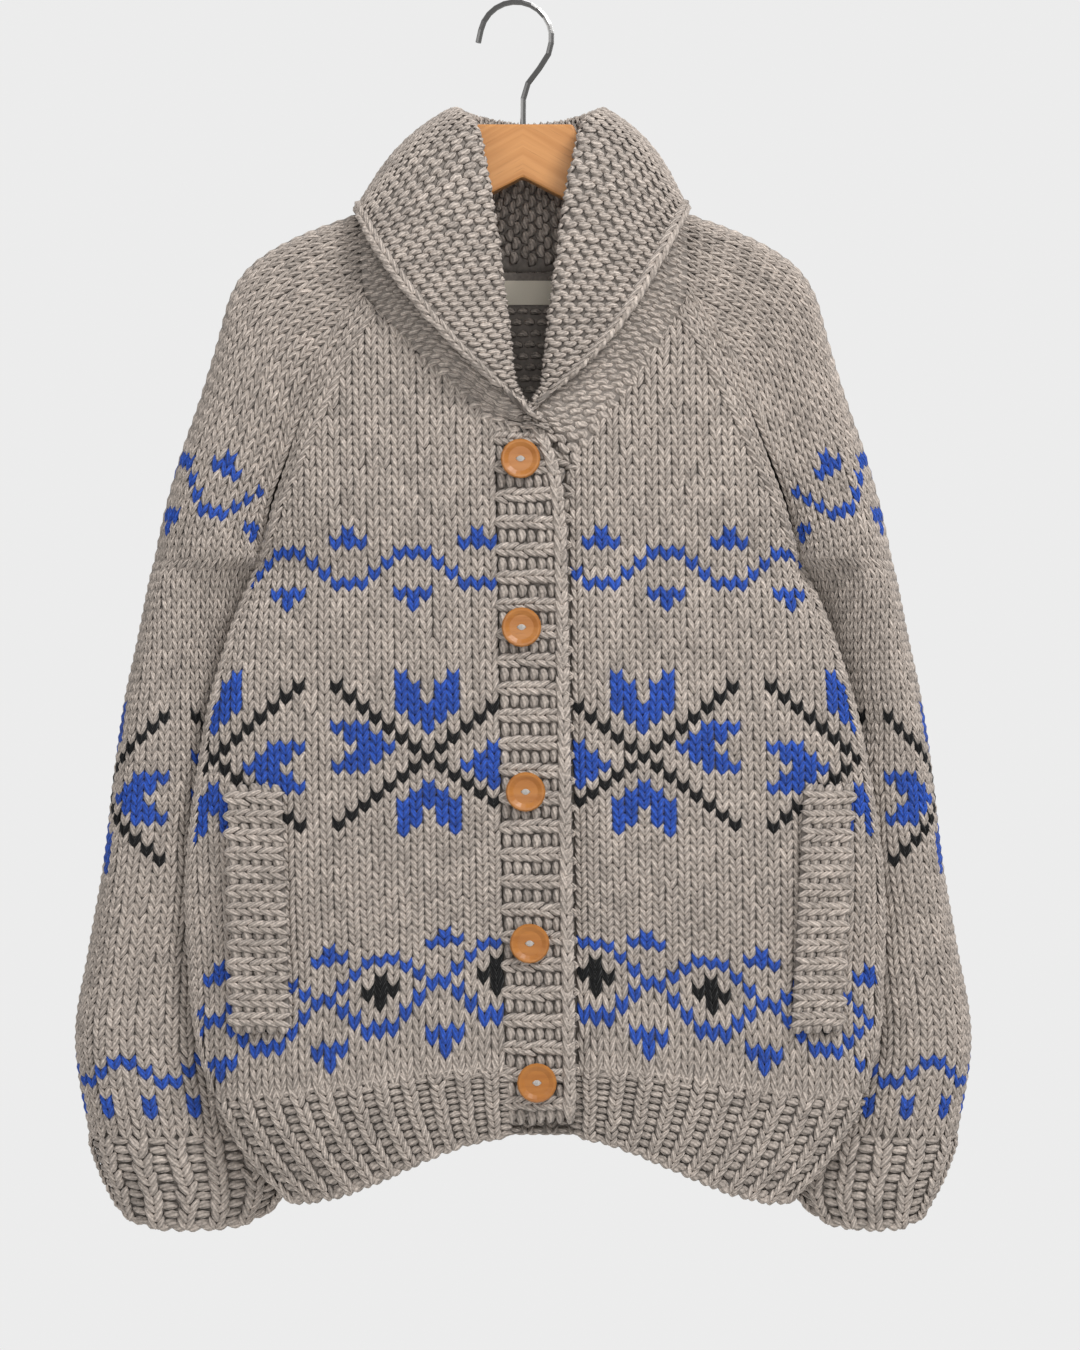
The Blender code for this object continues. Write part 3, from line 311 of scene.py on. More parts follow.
def even(points, cells):
    return atShares(points, np.linspace(0, 1, cells + 1))


# Points worked out for the +X side, put on a side and leant with the body
def placed(points, side):
    points = np.array(points, float)
    points[..., 0] = side * points[..., 0] + lean(points[..., 2])
    return points


def mirrored(vectors, side):
    return np.asarray(vectors) * np.array([side, 1.0, 1.0])


# Inward directions of a grid whose rows go up and whose columns go from the front round the +X
# side to the back
def inward(grid):
    up = np.gradient(grid, axis=0)
    across = np.gradient(grid, axis=1)
    return unit(np.cross(up, across))


# Half a section below the underarm, from the centre line to the side seam
def bodySection(sideZ, face):
    half, depth, sideY = (float(bodyTable.at(sideZ, n)) for n in ("half", face, "sideY"))
    middleZ = float(bodyTable.at(sideZ, face + "Z"))
    if face == "front":
        points = bezier(
            (0, -depth, 0),
            (frontBow * half, -depth, 0),
            (half, sideY - sideRound * (depth + sideY), 0),
            (half, sideY, 0),
        )
    else:
        points = bezier(
            (0, depth, 0),
            (backBow * half, depth, 0),
            (half, sideY + backSideHandle, 0),
            (half, sideY, 0),
        )
    bend = softStep((points[:, 0] / half - hemCurveStart) / (1 - hemCurveStart))
    points[:, 2] = middleZ + (sideZ - middleZ) * bend
    return points


def valley(share):
    return float(np.clip(1 - share / valleyEnd, 0, 1) ** 1.5)


def raglanPoint(share, face):
    top = raglanFrontTopZ if face == "front" else raglanBackTopZ
    z = underarmZ + share * (top - underarmZ)
    x, y = (float(raglanTable.at(share, face + n)) for n in "XY")
    return np.array([x, y, z])


# Where the body meets the raglan: the way the body's rows arrive, the way the sleeve's rings
# leave, and the sleeve's inward direction
def raglanDirections(share, face):
    fore = 1 if face == "front" else -1
    amount = valley(share)
    bodyTurn = surfaceTurn + amount * (math.pi / 2 - surfaceTurn)
    sleeveTurn = surfaceTurn - amount * (math.pi / 2 + surfaceTurn)
    body = np.array([math.cos(bodyTurn), fore * math.sin(bodyTurn), 0])
    sleeve = np.array([math.cos(sleeveTurn), fore * math.sin(sleeveTurn), 0])
    step = 0.02
    low, high = max(share - step, 0), min(share + step, 1)
    along = unit(raglanPoint(high, face) - raglanPoint(low, face))
    return body, sleeve, unit(fore * np.cross(along, sleeve))


# Half a section of the yoke, from the centre line to the raglan seam
def yokeSection(share, face):
    end = raglanPoint(share, face)
    fore = 1 if face == "front" else -1
    arrive = raglanDirections(share, face)[0]
    depth = float(bodyTable.at(end[2], face))
    handle = end[0] * (yokeArrive - yokeArriveLow * valley(share))
    start = np.array([0, -fore * depth, end[2]])
    leave = np.array([yokeLeave * end[0], 0, 0])
    points = bezier(start, start + leave, end - arrive * handle, end)
    if face == "back":
        dip = backNeckDip * share
        points[:, 2] -= dip * (1 - softStep(points[:, 0] / end[0]))
    return points


# The part of a section outside x
def cutFrom(points, x):
    y, z = (np.interp(x, points[:, 0], points[:, i]) for i in (1, 2))
    rest = points[points[:, 0] > x + 1e-6]
    return np.concatenate([[[x, y, z]], rest])


# A front's section outside its inner edge, where the left one is tucked behind the band
def frontCut(section, side, cells=None):
    edge = "left" if side > 0 else "right"
    z = section[0, 2]
    start = float(frontEdge.at(z, edge))
    row = cutFrom(section, start)
    if cells:
        row = even(row, cells)
    if edge == "left":
        fade = np.clip((raglanFrontTopZ - z) / leftTuckFade, 0, 1)
        near = np.clip(1 - (row[:, 0] - start) / leftTuckWidth, 0, 1)
        row[:, 1] += leftTuck * fade * near**2
    return row


# A closed ring of the arm, dense, from the inner side round the front
def sleeveRing(z, side):
    get = {n: float(sleeveTable.at(z, n)) for n in sleeveTable.names[1:]}
    inner = np.array([get["innerX"], get["innerY"], z])
    outer = np.array([get["outerX"] - side * lean(z), get["outerY"], z])
    back = np.array([0.0, 1.0, 0.0])
    fore = bezier(inner, inner - back * get["frontIn"], outer - back * get["frontOut"], outer)
    aft = bezier(outer, outer + back * get["backOut"], inner + back * get["backIn"], inner)
    return np.concatenate([fore, aft[1:]])


# A ring of the sleeve cap, dense, from the front raglan over the ridge to the back
def capRing(share, side):
    get = {n: float(capTable.at(share, n)) for n in capTable.names[1:]}
    ridge = np.array([float(ridgeTable.at(share, n)) for n in "xyz"])
    ridge[0] -= side * lean(ridge[2])
    back = np.array([0.0, 1.0, 0.0])
    halves = []
    for face, handleIn, handleOut, sign in (
        ("front", get["frontIn"], get["frontOut"], -1),
        ("back", get["backIn"], get["backOut"], 1),
    ):
        start = raglanPoint(share, face)
        _, leave, way = raglanDirections(share, face)
        toward = unit(ridge - start)
        leave = (1 - share) * leave + share * toward
        leave = unit(leave - way * np.dot(leave, way))
        arrive = ridge + sign * back * handleOut
        halves.append(bezier(start, start + leave * handleIn, arrive, ridge))
    return np.concatenate([halves[0], halves[1][::-1][1:]])


# Depth of the front's outer surface at a distance from the centre line
def bodyFrontY(x, z):
    low, high = hemZ, underarmZ
    for _ in range(30):
        middle = (low + high) / 2
        section = bodySection(middle, "front")
        if np.interp(x, section[:, 0], section[:, 2]) < z:
            low = middle
        else:
            high = middle
    return float(np.interp(x, section[:, 0], section[:, 1]))


# Depth of the front at the centre, by height there
def frontDepth(z):
    if z > underarmZ:
        return float(bodyTable.at(z, "front"))
    keys = bodyTable.values[:, bodyTable.names.index("frontZ")]
    sideZ = np.interp(z, keys, bodyTable.values[:, 0])
    return float(bodyTable.at(sideZ, "front"))


# The neck's seam from the wearer's right round the back to the left: points on the outer and
# the inner face, and the direction in which the collar leaves each
def collarStations():
    shares = np.linspace(0, 1, yokeRows + 1)

    def front(side, first):
        rows = [frontCut(yokeSection(share, "front"), side, halfColumns) for share in shares]
        grid = np.array(rows)
        way = inward(grid)
        return [(grid[r, 0], way[r, 0], grid[r, 1]) for r in range(first, yokeRows)]

    def sleeve(side):
        grid = np.array([even(capRing(share, side), ringColumns) for share in shares])
        way = inward(grid)[-1]
        for column, face in ((0, "front"), (-1, "back")):
            way[column] = raglanDirections(1, face)[2]
            grid[:, column, 0] += seamGap / 2
        columns = range(0, ringColumns + 1, ringColumns // 4)
        return [(grid[-1, c], way[c], grid[-2, c]) for c in columns]

    grid = np.array([even(yokeSection(share, "back"), halfColumns) for share in shares])
    grid = np.concatenate([mirrored(grid[:, :0:-1], -1), grid], axis=1)
    way = -inward(grid)[-1]
    back = [(grid[-1, c], way[c], grid[-2, c]) for c in range(2, 2 * halfColumns, 2)]
    right = front(-1, rightCollarRow) + sleeve(-1)
    left = sleeve(1)[::-1] + front(1, leftCollarRow)[::-1]
    parts = []
    for stations, side in ((right, -1), (back + left, 1)):
        outer, way, before = np.array(stations).transpose(1, 0, 2)
        outer = placed(outer, side)
        inner = outer + mirrored(way, side) * wallThick
        parts.append((outer, inner, unit(outer - placed(before, side))))
    outs, ins, aways = (np.concatenate(part) for part in zip(*parts))
    along = unit(np.gradient(outs, axis=0))
    aways = unit(aways - along * np.sum(aways * along, axis=1, keepdims=True))
    smoothed = aways.copy()
    smoothed[1:-1] = unit(aways[:-2] + 2 * aways[1:-1] + aways[2:])
    return outs, ins, smoothed


# A knitted surface: rows of points along the knitting, each row at even shares of its
# length. base and scale say where wale c stands on a row: at base + c * scale along it.
class Fabric:
    def __init__(self, grid, flip, wales, closedRows=0):
        self.grid = grid
        self.length = np.linalg.norm(np.diff(grid, axis=1), axis=2).sum(axis=1)
        self.out = flip * unit(np.cross(np.gradient(grid, axis=0), np.gradient(grid, axis=1)))
        if closedRows:
            joined = unit(self.out[:closedRows, 0] + self.out[:closedRows, -1])
            self.out[:closedRows, 0] = joined
            self.out[:closedRows, -1] = joined
        self.base = np.zeros(len(grid))
        self.scale = self.length / wales

    def sunk(self, depth):
        return self.grid - self.out * depth

    # Points h above the fabric at broken rows and wales
    def spot(self, r, c, h, base=None):
        base = self.base if base is None else base
        cells = self.grid.shape[1] - 1
        first = np.clip(np.floor(r).astype(int), 0, len(self.grid) - 2)
        part = r - first
        points = ways = 0
        for row, share in ((first, 1 - part), (first + 1, part)):
            k = (base[row] + c * self.scale[row]) / self.length[row] * cells
            k = np.clip(k, -1.5, cells + 1.5)
            left = np.clip(np.floor(k).astype(int), 0, cells - 1)
            far = (k - left)[..., None]
            share = share[..., None]
            near = share * (1 - far)
            far = share * far
            points = points + near * self.grid[row, left] + far * self.grid[row, left + 1]
            ways = ways + near * self.out[row, left] + far * self.out[row, left + 1]
        return points + unit(ways) * h[..., None]


# A closed lobe of yarn along a path of (wales, rows, height), as rings between two tips
lobeSides = 4
lobeCell = (0.0088, 0.0070)  # a wale and a row, in metres


def lobe(path, across, tall):
    path = np.array(path, float)
    along = unit(np.gradient(path[:, :2] * lobeCell, axis=0))
    points = [path[0]]
    for i in range(1, len(path) - 1):
        for k in range(lobeSides):
            turn = 2 * math.pi * (k / lobeSides) - math.pi / 2
            sideways = np.array([along[i, 1], -along[i, 0]]) * math.cos(turn)
            sideways *= across[i - 1] / np.array(lobeCell)
            high = path[i, 2] + math.sin(turn) * tall[i - 1]
            points.append([*(path[i, :2] + sideways), high])
    points.append(path[-1])
    last = len(points) - 1
    faces, spots = [], []
    rings = len(path) - 2
    ends = 1 / (rings + 1), rings / (rings + 1)
    for k in (0, 3, 1, 2):  # the upper faces come last
        v0, v1, nextK = k / lobeSides, (k + 1) / lobeSides, (k + 1) % lobeSides
        faces.append((0, 1 + nextK, 1 + k))
        spots.append(((0, (v0 + v1) / 2), (ends[0], v1), (ends[0], v0)))
        for i in range(rings - 1):
            a, b = 1 + i * lobeSides, 1 + (i + 1) * lobeSides
            faces.append((a + k, a + nextK, b + nextK, b + k))
            u0, u1 = (i + 1) / (rings + 1), (i + 2) / (rings + 1)
            spots.append(((u0, v0), (u0, v1), (u1, v1), (u1, v0)))
        a = 1 + (rings - 1) * lobeSides
        faces.append((a + k, a + nextK, last))
        spots.append(((ends[1], v0), (ends[1], v1), (1, (v0 + v1) / 2)))
    return {"points": np.array(points), "faces": faces, "spots": spots}


def joinLobes(*lobes):
    points, faces, spots, leg = [], [], [], []
    for number, each in enumerate(lobes):
        shift = sum(len(p) for p in points)
        faces += [tuple(v + shift for v in face) for face in each["faces"]]
        spots += each["spots"]
        points.append(each["points"])
        leg += [number] * len(each["points"])
    loops = np.array([v for face in faces for v in face])
    return {
        "points": np.concatenate(points),
        "loops": loops,
        "sizes": np.array([len(face) for face in faces]),
        "spots": np.array([s for spot in spots for s in spot], float),
        "leg": np.array(leg),
    }


def mirroredLobe(each):
    points = each["points"] * np.array([-1, 1, 1])
    faces = [face[::-1] for face in each["faces"]]
    spots = [spot[::-1] for spot in each["spots"]]
    return {"points": points, "faces": faces, "spots": spots}


# Stitches. path is in wales, rows and metres of height, across and tall in metres
stitch = {
    "path": (
        (0.01, -0.44, -0.0003),
        (0.085, -0.08, 0.0009),
        (0.225, 0.42, 0.0014),
        (0.375, 0.98, 0.0005),
        (0.48, 1.45, -0.0012),
    ),
    "across": (0.00160, 0.00205, 0.00175),
    "tall": (0.0014, 0.0017, 0.0014),
    "purlPath": (
        (-0.52, 0.34, -0.0010),
        (-0.30, 0.50, 0.0004),
        (0.0, 0.58, 0.0007),
        (0.30, 0.50, 0.0004),
        (0.52, 0.34, -0.0010),
    ),
    "purlAcross": (0.0018, 0.0021, 0.0018),
    "purlTall": (0.0013, 0.0015, 0.0013),
    "ribPurlAcross": (0.0027, 0.0033, 0.0027),
    "ribPurlTall": (0.0013, 0.0016, 0.0013),
    "garterDown": 0.64,  # a garter bump that points down, in rows from the purl path's zero
    "garterSunk": 0.0002,
    "wander": 0.03,
    "blunt": 0.25,
    "shadeSpread": 0.055,
    "legSpread": 0.055,
}
rightLeg = lobe(stitch["path"], stitch["across"], stitch["tall"])
knitStitch = joinLobes(mirroredLobe(rightLeg), rightLeg)
purlLobe = lobe(stitch["purlPath"], stitch["purlAcross"], stitch["purlTall"])
purlBump = joinLobes(purlLobe)
ribPurl = joinLobes(lobe(stitch["purlPath"], stitch["ribPurlAcross"], stitch["ribPurlTall"]))
# A garter ridge also has the bump that points down, half a wale on in the row below
down, under = stitch["garterDown"], stitch["garterSunk"]
lower = [(a + 0.5, down - b, h - under) for a, b, h in stitch["purlPath"]]
garterBump = joinLobes(purlLobe, lobe(lower, stitch["purlAcross"], stitch["purlTall"]))

dyes = {
    "grey": (0.470, 0.408, 0.360),
    "blue": (0.024, 0.085, 0.430),
    "black": (0.003, 0.003, 0.0035),
}


# Copies of a stitch on a fabric: cells holds each one's row and wale, tones its dye by number
def stitchSet(fabric, cells, shape, tones=None, lift=None, base=None, wide=1.0, blunt=False):
    cells = np.asarray(cells, float).reshape(-1, 2)
    count = len(cells)
    wander = rng.normal(0, stitch["wander"], (count, 2))
    r = cells[:, :1] + shape["points"][None, :, 1] + wander[:, 1:]
    if blunt:
        r = np.where(r < 0, stitch["blunt"] * r, r)  # the first row ends at the edge
    c = cells[:, 1:] + 0.5 + shape["points"][None, :, 0] * wide + wander[:, :1]
    h = np.broadcast_to(shape["points"][None, :, 2], c.shape)
    if lift is not None:
        h = h + lift(r, c)
    points = fabric.spot(r, c, h, base)
    tones = np.zeros(count, int) if tones is None else tones
    dyeAndShade = np.array(list(dyes.values()))[tones]
    shade = 1 + rng.normal(0, stitch["shadeSpread"], (count, 1, 1))
    legs = 1 + rng.normal(0, stitch["legSpread"], (count, shape["leg"].max() + 1, 1))
    dyeAndShade = dyeAndShade[:, None, :] * shade * legs[:, shape["leg"]]
    flat = np.stack([(c + 0.5) / (c.max() + 1.5), (r + 0.5) / (len(fabric.grid) + 0.5)], axis=-1)
    return {"points": points, "shape": shape, "dyeAndShade": dyeAndShade, "flat": np.clip(flat, 0, 1)}


def facesOf(sets):
    loops, sizes, spots, flats, shift = [], [], [], [], 0
    for each in sets:
        count, many = each["points"].shape[:2]
        first = shift + many * np.arange(count)[:, None]
        loops.append((each["shape"]["loops"][None] + first).ravel())
        sizes.append(np.tile(each["shape"]["sizes"], count))
        spots.append(np.tile(each["shape"]["spots"], (count, 1)))
        flats.append(each["flat"][:, each["shape"]["loops"]].reshape(-1, 2))
        shift += count * many
    return (np.concatenate(part) for part in (loops, sizes, spots, flats))


def signedVolume(points, loops, sizes):
    starts = np.concatenate([[0], np.cumsum(sizes)[:-1]])
    a, b, c = (points[loops[starts + i]] for i in range(3))
    total = np.einsum("ij,ij->i", a, np.cross(b, c)).sum()
    four = sizes == 4
    d = points[loops[starts[four] + 3]]
    return total + np.einsum("ij,ij->i", a[four], np.cross(c[four], d)).sum()


def newMesh(name, points, loops, sizes, spots=None, flats=None, dyeAndShade=None):
    if signedVolume(points, loops, sizes) < 0:
        ends = np.cumsum(sizes)
        starts = ends - sizes
        turned = np.concatenate([np.arange(e - 1, s - 1, -1) for s, e in zip(starts, ends)])
        loops = loops[turned]
        spots = None if spots is None else spots[turned]
        flats = None if flats is None else flats[turned]
    mesh = bpy.data.meshes.new(name)
    mesh.vertices.add(len(points))
    mesh.vertices.foreach_set("co", points.ravel())
    mesh.loops.add(len(loops))
    mesh.loops.foreach_set("vertex_index", loops)
    mesh.polygons.add(len(sizes))
    mesh.polygons.foreach_set("loop_start", np.cumsum(sizes) - sizes)
    mesh.polygons.foreach_set("loop_total", sizes)
    mesh.polygons.foreach_set("use_smooth", np.ones(len(sizes), bool))
    mesh.update(calc_edges=True)
    for mapName, values in (("yarn", spots), ("OFBake", flats)):
        if values is not None:
            mesh.uv_layers.new(name=mapName).data.foreach_set("uv", values.ravel())
    if dyeAndShade is not None:
        layer = mesh.attributes.new("dyeAndShade", "FLOAT_COLOR", "POINT")
        colours = np.concatenate([dyeAndShade, np.ones((len(dyeAndShade), 1))], axis=1)
        layer.data.foreach_set("color", colours.ravel())
    made = bpy.data.objects.new(name, mesh)
    scene.collection.objects.link(made)
    return made


def stitchPiece(name, sets, side=1):
    loops, sizes, spots, flats = facesOf(sets)
    points = np.concatenate([each["points"].reshape(-1, 3) for each in sets])
    dyeAndShade = np.concatenate([each["dyeAndShade"].reshape(-1, 3) for each in sets])
    if side:
        points = placed(points, side)
    made = newMesh(name, points, loops, sizes, spots, flats, dyeAndShade)
    made.data.materials.append(wool)
    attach(made, "root")
    return made


# A closed thin wall between two grids of points, in a node's place
def shellPiece(name, outer, inner, node, side=1):
    rows, columns = outer.shape[:2]
    index = np.arange(rows * columns).reshape(rows, columns)
    far = index + rows * columns
    quads = []
    for grid, turn in ((index, 1), (far, -1)):
        corners = grid[:-1, :-1], grid[:-1, 1:], grid[1:, 1:], grid[1:, :-1]
        quads.append(np.stack(corners, axis=-1).reshape(-1, 4)[:, ::turn])
    rim = np.concatenate([index[0], index[1:, -1], index[-1, ::-1][1:], index[::-1, 0][1:]])
    farRim = rim + rows * columns
    quads.append(np.stack([rim[1:], rim[:-1], farRim[:-1], farRim[1:]], axis=-1))
    quads = np.concatenate(quads)
    points = np.concatenate([outer.reshape(-1, 3), inner.reshape(-1, 3)])
    if side:
        points = placed(points, side)
    u, v = np.meshgrid(np.linspace(0, 1, columns), np.linspace(0, 1, rows))
    flat = np.stack([u * 0.49, v], axis=-1).reshape(-1, 2)
    flat = np.concatenate([flat, flat + np.array([0.51, 0])])
    loops = quads.ravel()
    made = newMesh(name, points, loops, np.full(len(quads), 4), None, flat[loops])
    # Its colour is painted shade, seen in the gaps between the stitches
    made.data.materials.append(woolUnderPaintedShade)
    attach(made, "root")
    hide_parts(node)
    return made


# Shader maths: a socket whose operators add Math nodes
class Shade:
    tree = None

    def __init__(self, socket):
        self.socket = socket

    @staticmethod
    def node(kind, settings=None, sockets=None, out=0):
        made = Shade.tree.nodes.new(kind)
        for name, value in (settings or {}).items():
            setattr(made, name, value)
        for name, value in (sockets or {}).items():
            if isinstance(value, Shade):
                Shade.tree.links.new(value.socket, made.inputs[name])
            else:
                made.inputs[name].default_value = value
        return Shade(made.outputs[out])

    def math(self, operation, other=0.0, swap=False):
        pair = {0: other, 1: self} if swap else {0: self, 1: other}
        return Shade.node("ShaderNodeMath", {"operation": operation}, pair)

    def __add__(self, other):
        return self.math("ADD", other)

    __radd__ = __add__

    def __mul__(self, other):
        return self.math("MULTIPLY", other)

    __rmul__ = __mul__

    def __sub__(self, other):
        return self.math("SUBTRACT", other)

    def __rsub__(self, other):
        return self.math("SUBTRACT", other, swap=True)


def mixed(factor, first, second, blend="MIX"):
    settings = {"data_type": "RGBA", "blend_type": blend}
    return Shade.node("ShaderNodeMix", settings, {0: factor, 6: first, 7: second}, out=2)


def newMaterial(name, roughness, **constants):
    made = bpy.data.materials.new(name)
    made.use_nodes = True
    Shade.tree = made.node_tree
    shader = made.node_tree.nodes["Principled BSDF"]
    shader.inputs["Roughness"].default_value = roughness
    for socket, value in constants.items():
        shader.inputs[socket.replace("_", " ")].default_value = value
    return made, shader


def join(value, shader, socket):
    Shade.tree.links.new(value.socket, shader.inputs[socket])


def objectPlace():
    return Shade.node("ShaderNodeTexCoord", out=3)


def split(vector):
    made = Shade.node("ShaderNodeSeparateXYZ", None, {0: vector}).socket.node
    return [Shade(socket) for socket in made.outputs]


def combined(x, y, z):
    return Shade.node("ShaderNodeCombineXYZ", None, {0: x, 1: y, 2: z})


def noise(vector, scale, detail=2.0, distortion=0.0):
    sockets = {"Vector": vector, "Scale": scale, "Detail": detail, "Distortion": distortion}
    return Shade.node("ShaderNodeTexNoise", None, sockets)


# A colour made lighter or darker by a number
def shaded(colour, light):
    grey = Shade.node("ShaderNodeCombineColor", None, {0: light, 1: light, 2: light})
    return mixed(1.0, colour, grey, "MULTIPLY")


def bumped(shader, height, distance, strength=1.0):
    sockets = {"Height": height, "Distance": distance, "Strength": strength}
    join(Shade.node("ShaderNodeBump", None, sockets), shader, "Normal")


woolLook = {
    "plies": 4.0,
    "twist": 1.6,
    # how much darker the grooves between the plies are painted: painted shade
    "groovePaintedShade": 0.40,
    "heatherScale": 520.0,
    "heather": 1.5,
    "tuftScale": 46.0,
    "tuft": 0.3,
    "fibreAlong": 3.0,
    "fibreAround": 34.0,
    "fibreSlant": 14.0,
    "fibre": 0.85,
    "bump": 0.0008,
    "fuzzScale": 380.0,
    "fuzzBump": 0.0006,
    # the cloth behind the stitches, much darker than the yarn: painted shade for the gaps between
    # stitches
    "gapPaintedShade": (0.200, 0.175, 0.155, 1),
}


def woolMaterial():
    look = woolLook
    made, shader = newMaterial(
        "knit wool", 0.92, Sheen_Weight=0.12, Sheen_Roughness=0.6, Specular_IOR_Level=0.12
    )
    # The stitch colour attribute is the yarn's dye, and on the purl bumps in rib grooves also
    # painted shade
    dyeAndShade = Shade.node("ShaderNodeAttribute", {"attribute_name": "dyeAndShade"})
    u, v, _ = split(Shade.node("ShaderNodeUVMap", {"uv_map": "yarn"}))
    ply = (v * look["plies"] + u * look["twist"]) * (2 * math.pi)
    groove = (ply.math("SINE") * 0.5 + 0.5).math("POWER", 2.5)
    heather = noise(objectPlace(), look["heatherScale"])
    tuft = noise(objectPlace(), look["tuftScale"], 1.0)
    around = v * look["fibreAround"] + u * look["fibreSlant"]
    fibre = noise(combined(u * look["fibreAlong"], around, 0.0), 1.0)
    light = (heather - 0.5) * look["heather"] + (tuft - 0.5) * look["tuft"]
    light = light + (fibre - 0.5) * look["fibre"] + 1.0
    # The grooves between the plies are painted darker: painted shade
    light = light * (1.0 - groove * look["groovePaintedShade"])
    join(shaded(dyeAndShade, light), shader, "Base Color")
    bumped(shader, fibre * 0.35 - groove * 0.8 + heather * 0.25, look["bump"], 0.7)
    return made


def paintedShadeUnderMaterial():
    # A darker wool than the stitches, painted shade for the gaps between them, with random fuzz
    made, shader = newMaterial("wool behind the stitches in painted shade", 0.95)
    fuzz = noise(objectPlace(), woolLook["fuzzScale"], 3.0)
    join(shaded(woolLook["gapPaintedShade"], fuzz * 0.9 + 0.55), shader, "Base Color")
    bumped(shader, fuzz, woolLook["fuzzBump"], 0.6)
    return made


wool = woolMaterial()
woolUnderPaintedShade = paintedShadeUnderMaterial()
print("materials for the wool")


# Panels of plain knitting. Where a stitch row crosses the centre, by its height at the side
sagTable = Table(
    "side centre",
    (-0.756, -0.735),
    (-0.700, -0.660),
    (-0.626, -0.605),
    (-0.540, -0.536),
    (-0.388, -0.388),
)
knit = {
    "wale": 0.0089,
    "sleeveWales": 34,
    "backWales": 56,
    "lowRows": 52,
    "yokeRows": 26,
    "sleeveLowRows": 57,
    "capRows": 30,
    "gridCells": 24,
    "yarnDepth": 0.0010,  # yarn's middle below the cloth's surface
    "shellDepth": 0.0021,
    "borderLift": 0.0017,
    "seamWidth": 0.0070,
    "seamDepth": 0.0032,
    "seamLead": 6,  # rows below the underarm over which a seam starts to count
    "seamFade": 0.15,
    "seamWale": 0.95,
    "seamReach": 0.4,  # how far under a border the wales beside it go, in wales
    "bandReach": 0.1,
    "lapRow": -0.7,
    "splitRow": 30,
}

# Creases: the ends of each as (x, z), its half width and its depth, a ridge's below zero.
# x is counted from the centre toward the side, and on the back to the wearer's left
creases = {
    "right_front": (
        ((0.120, -0.218), (0.183, -0.384), 0.010, -0.0020),
        ((0.096, -0.300), (0.140, -0.372), 0.022, 0.0016),
        ((0.062, -0.612), (0.140, -0.668), 0.021, 0.0022),
        ((0.200, -0.452), (0.186, -0.522), 0.015, -0.0022),
        ((0.218, -0.596), (0.226, -0.694), 0.011, 0.0030),
    ),
    "left_front": (
        ((0.128, -0.232), (0.181, -0.372), 0.011, -0.0017),
        ((0.066, -0.520), (0.152, -0.478), 0.023, 0.0018),
        ((0.050, -0.700), (0.120, -0.655), 0.019, 0.0016),
        ((0.220, -0.622), (0.224, -0.716), 0.012, 0.0027),
    ),
    "right_sleeve": (
        ((0.142, -0.222), (0.206, -0.402), 0.015, 0.0058),
        ((0.182, -0.232), (0.226, -0.330), 0.019, -0.0024),
        ((0.208, -0.428), (0.252, -0.486), 0.013, 0.0036),
        ((0.212, -0.556), (0.262, -0.596), 0.016, 0.0024),
        ((0.214, -0.652), (0.286, -0.690), 0.018, 0.0030),
        ((0.236, -0.742), (0.272, -0.716), 0.011, 0.0021),
    ),
    "left_sleeve": (
        ((0.150, -0.216), (0.200, -0.346), 0.013, 0.0046),
        ((0.214, -0.352), (0.222, -0.420), 0.012, 0.0034),
        ((0.190, -0.248), (0.232, -0.372), 0.020, -0.0020),
        ((0.210, -0.520), (0.264, -0.492), 0.015, 0.0028),
        ((0.216, -0.624), (0.288, -0.648), 0.019, 0.0026),
        ((0.222, -0.736), (0.252, -0.700), 0.012, 0.0024),
    ),
    "back": (
        ((-0.118, -0.236), (-0.170, -0.372), 0.017, 0.0034),
        ((0.126, -0.240), (0.180, -0.350), 0.015, 0.0030),
        ((-0.070, -0.430), (0.020, -0.462), 0.024, 0.0020),
        ((0.060, -0.540), (0.150, -0.500), 0.022, 0.0022),
        ((-0.190, -0.560), (-0.110, -0.628), 0.021, 0.0026),
        ((0.180, -0.610), (0.120, -0.690), 0.018, 0.0021),
    ),
}


# How a sleeve's creases lie on its back: lower and flatter. ends is their depth at the tips
creaseLook = {"backLower": 0.030, "backFlat": 0.7, "ends": 0.35, "turn": 2.5}


def creased(grid, out, lines, bothFaces=False):
    moved = np.zeros(grid.shape[:2])
    for face in (-1, 1) if bothFaces else (0,):
        shown = np.clip(creaseLook["turn"] * face * out[..., 1], 0, 1) if face else 1.0
        lower, flatter = (creaseLook["backLower"], creaseLook["backFlat"]) if face > 0 else (0, 1)
        for (startX, startZ), (endX, endZ), wide, deep in lines:
            way = np.array((endX - startX, (endZ - startZ) * flatter))
            flat = grid[..., [0, 2]] - np.array((startX, startZ - lower))
            along = np.clip(flat @ way / (way @ way), 0, 1)
            off = np.linalg.norm(flat - along[..., None] * way, axis=-1)
            fade = creaseLook["ends"] + (1 - creaseLook["ends"]) * np.sin(math.pi * along)
            moved += shown * deep * fade * np.exp(-((off / wide) ** 2))
    return grid - out * moved[..., None]


# Creases end at the seams, so that no slit opens there, and from row low up, the raglan
# seams draw the cloth in
def seamed(plain, grid, out, low, bothEnds, closed):
    steps = np.linalg.norm(np.diff(plain, axis=1), axis=2)
    along = np.concatenate([np.zeros((len(grid), 1)), np.cumsum(steps, axis=1)], axis=1)
    off = along[:, -1:] - along
    if bothEnds:
        off = np.minimum(off, along)
    rows = np.arange(len(grid))[:, None] - low
    near = np.exp(-((off / knit["seamWidth"]) ** 2))
    if closed:
        near = near * softStep(rows / knit["seamLead"] + 1)
    share = rows / rows.max()
    fade = softStep(share / knit["seamFade"]) * softStep((1 - share) / knit["seamFade"])
    drawn = out * (knit["seamDepth"] * fade * near)[..., None]
    return plain + (grid - plain) * (1 - near)[..., None] - drawn


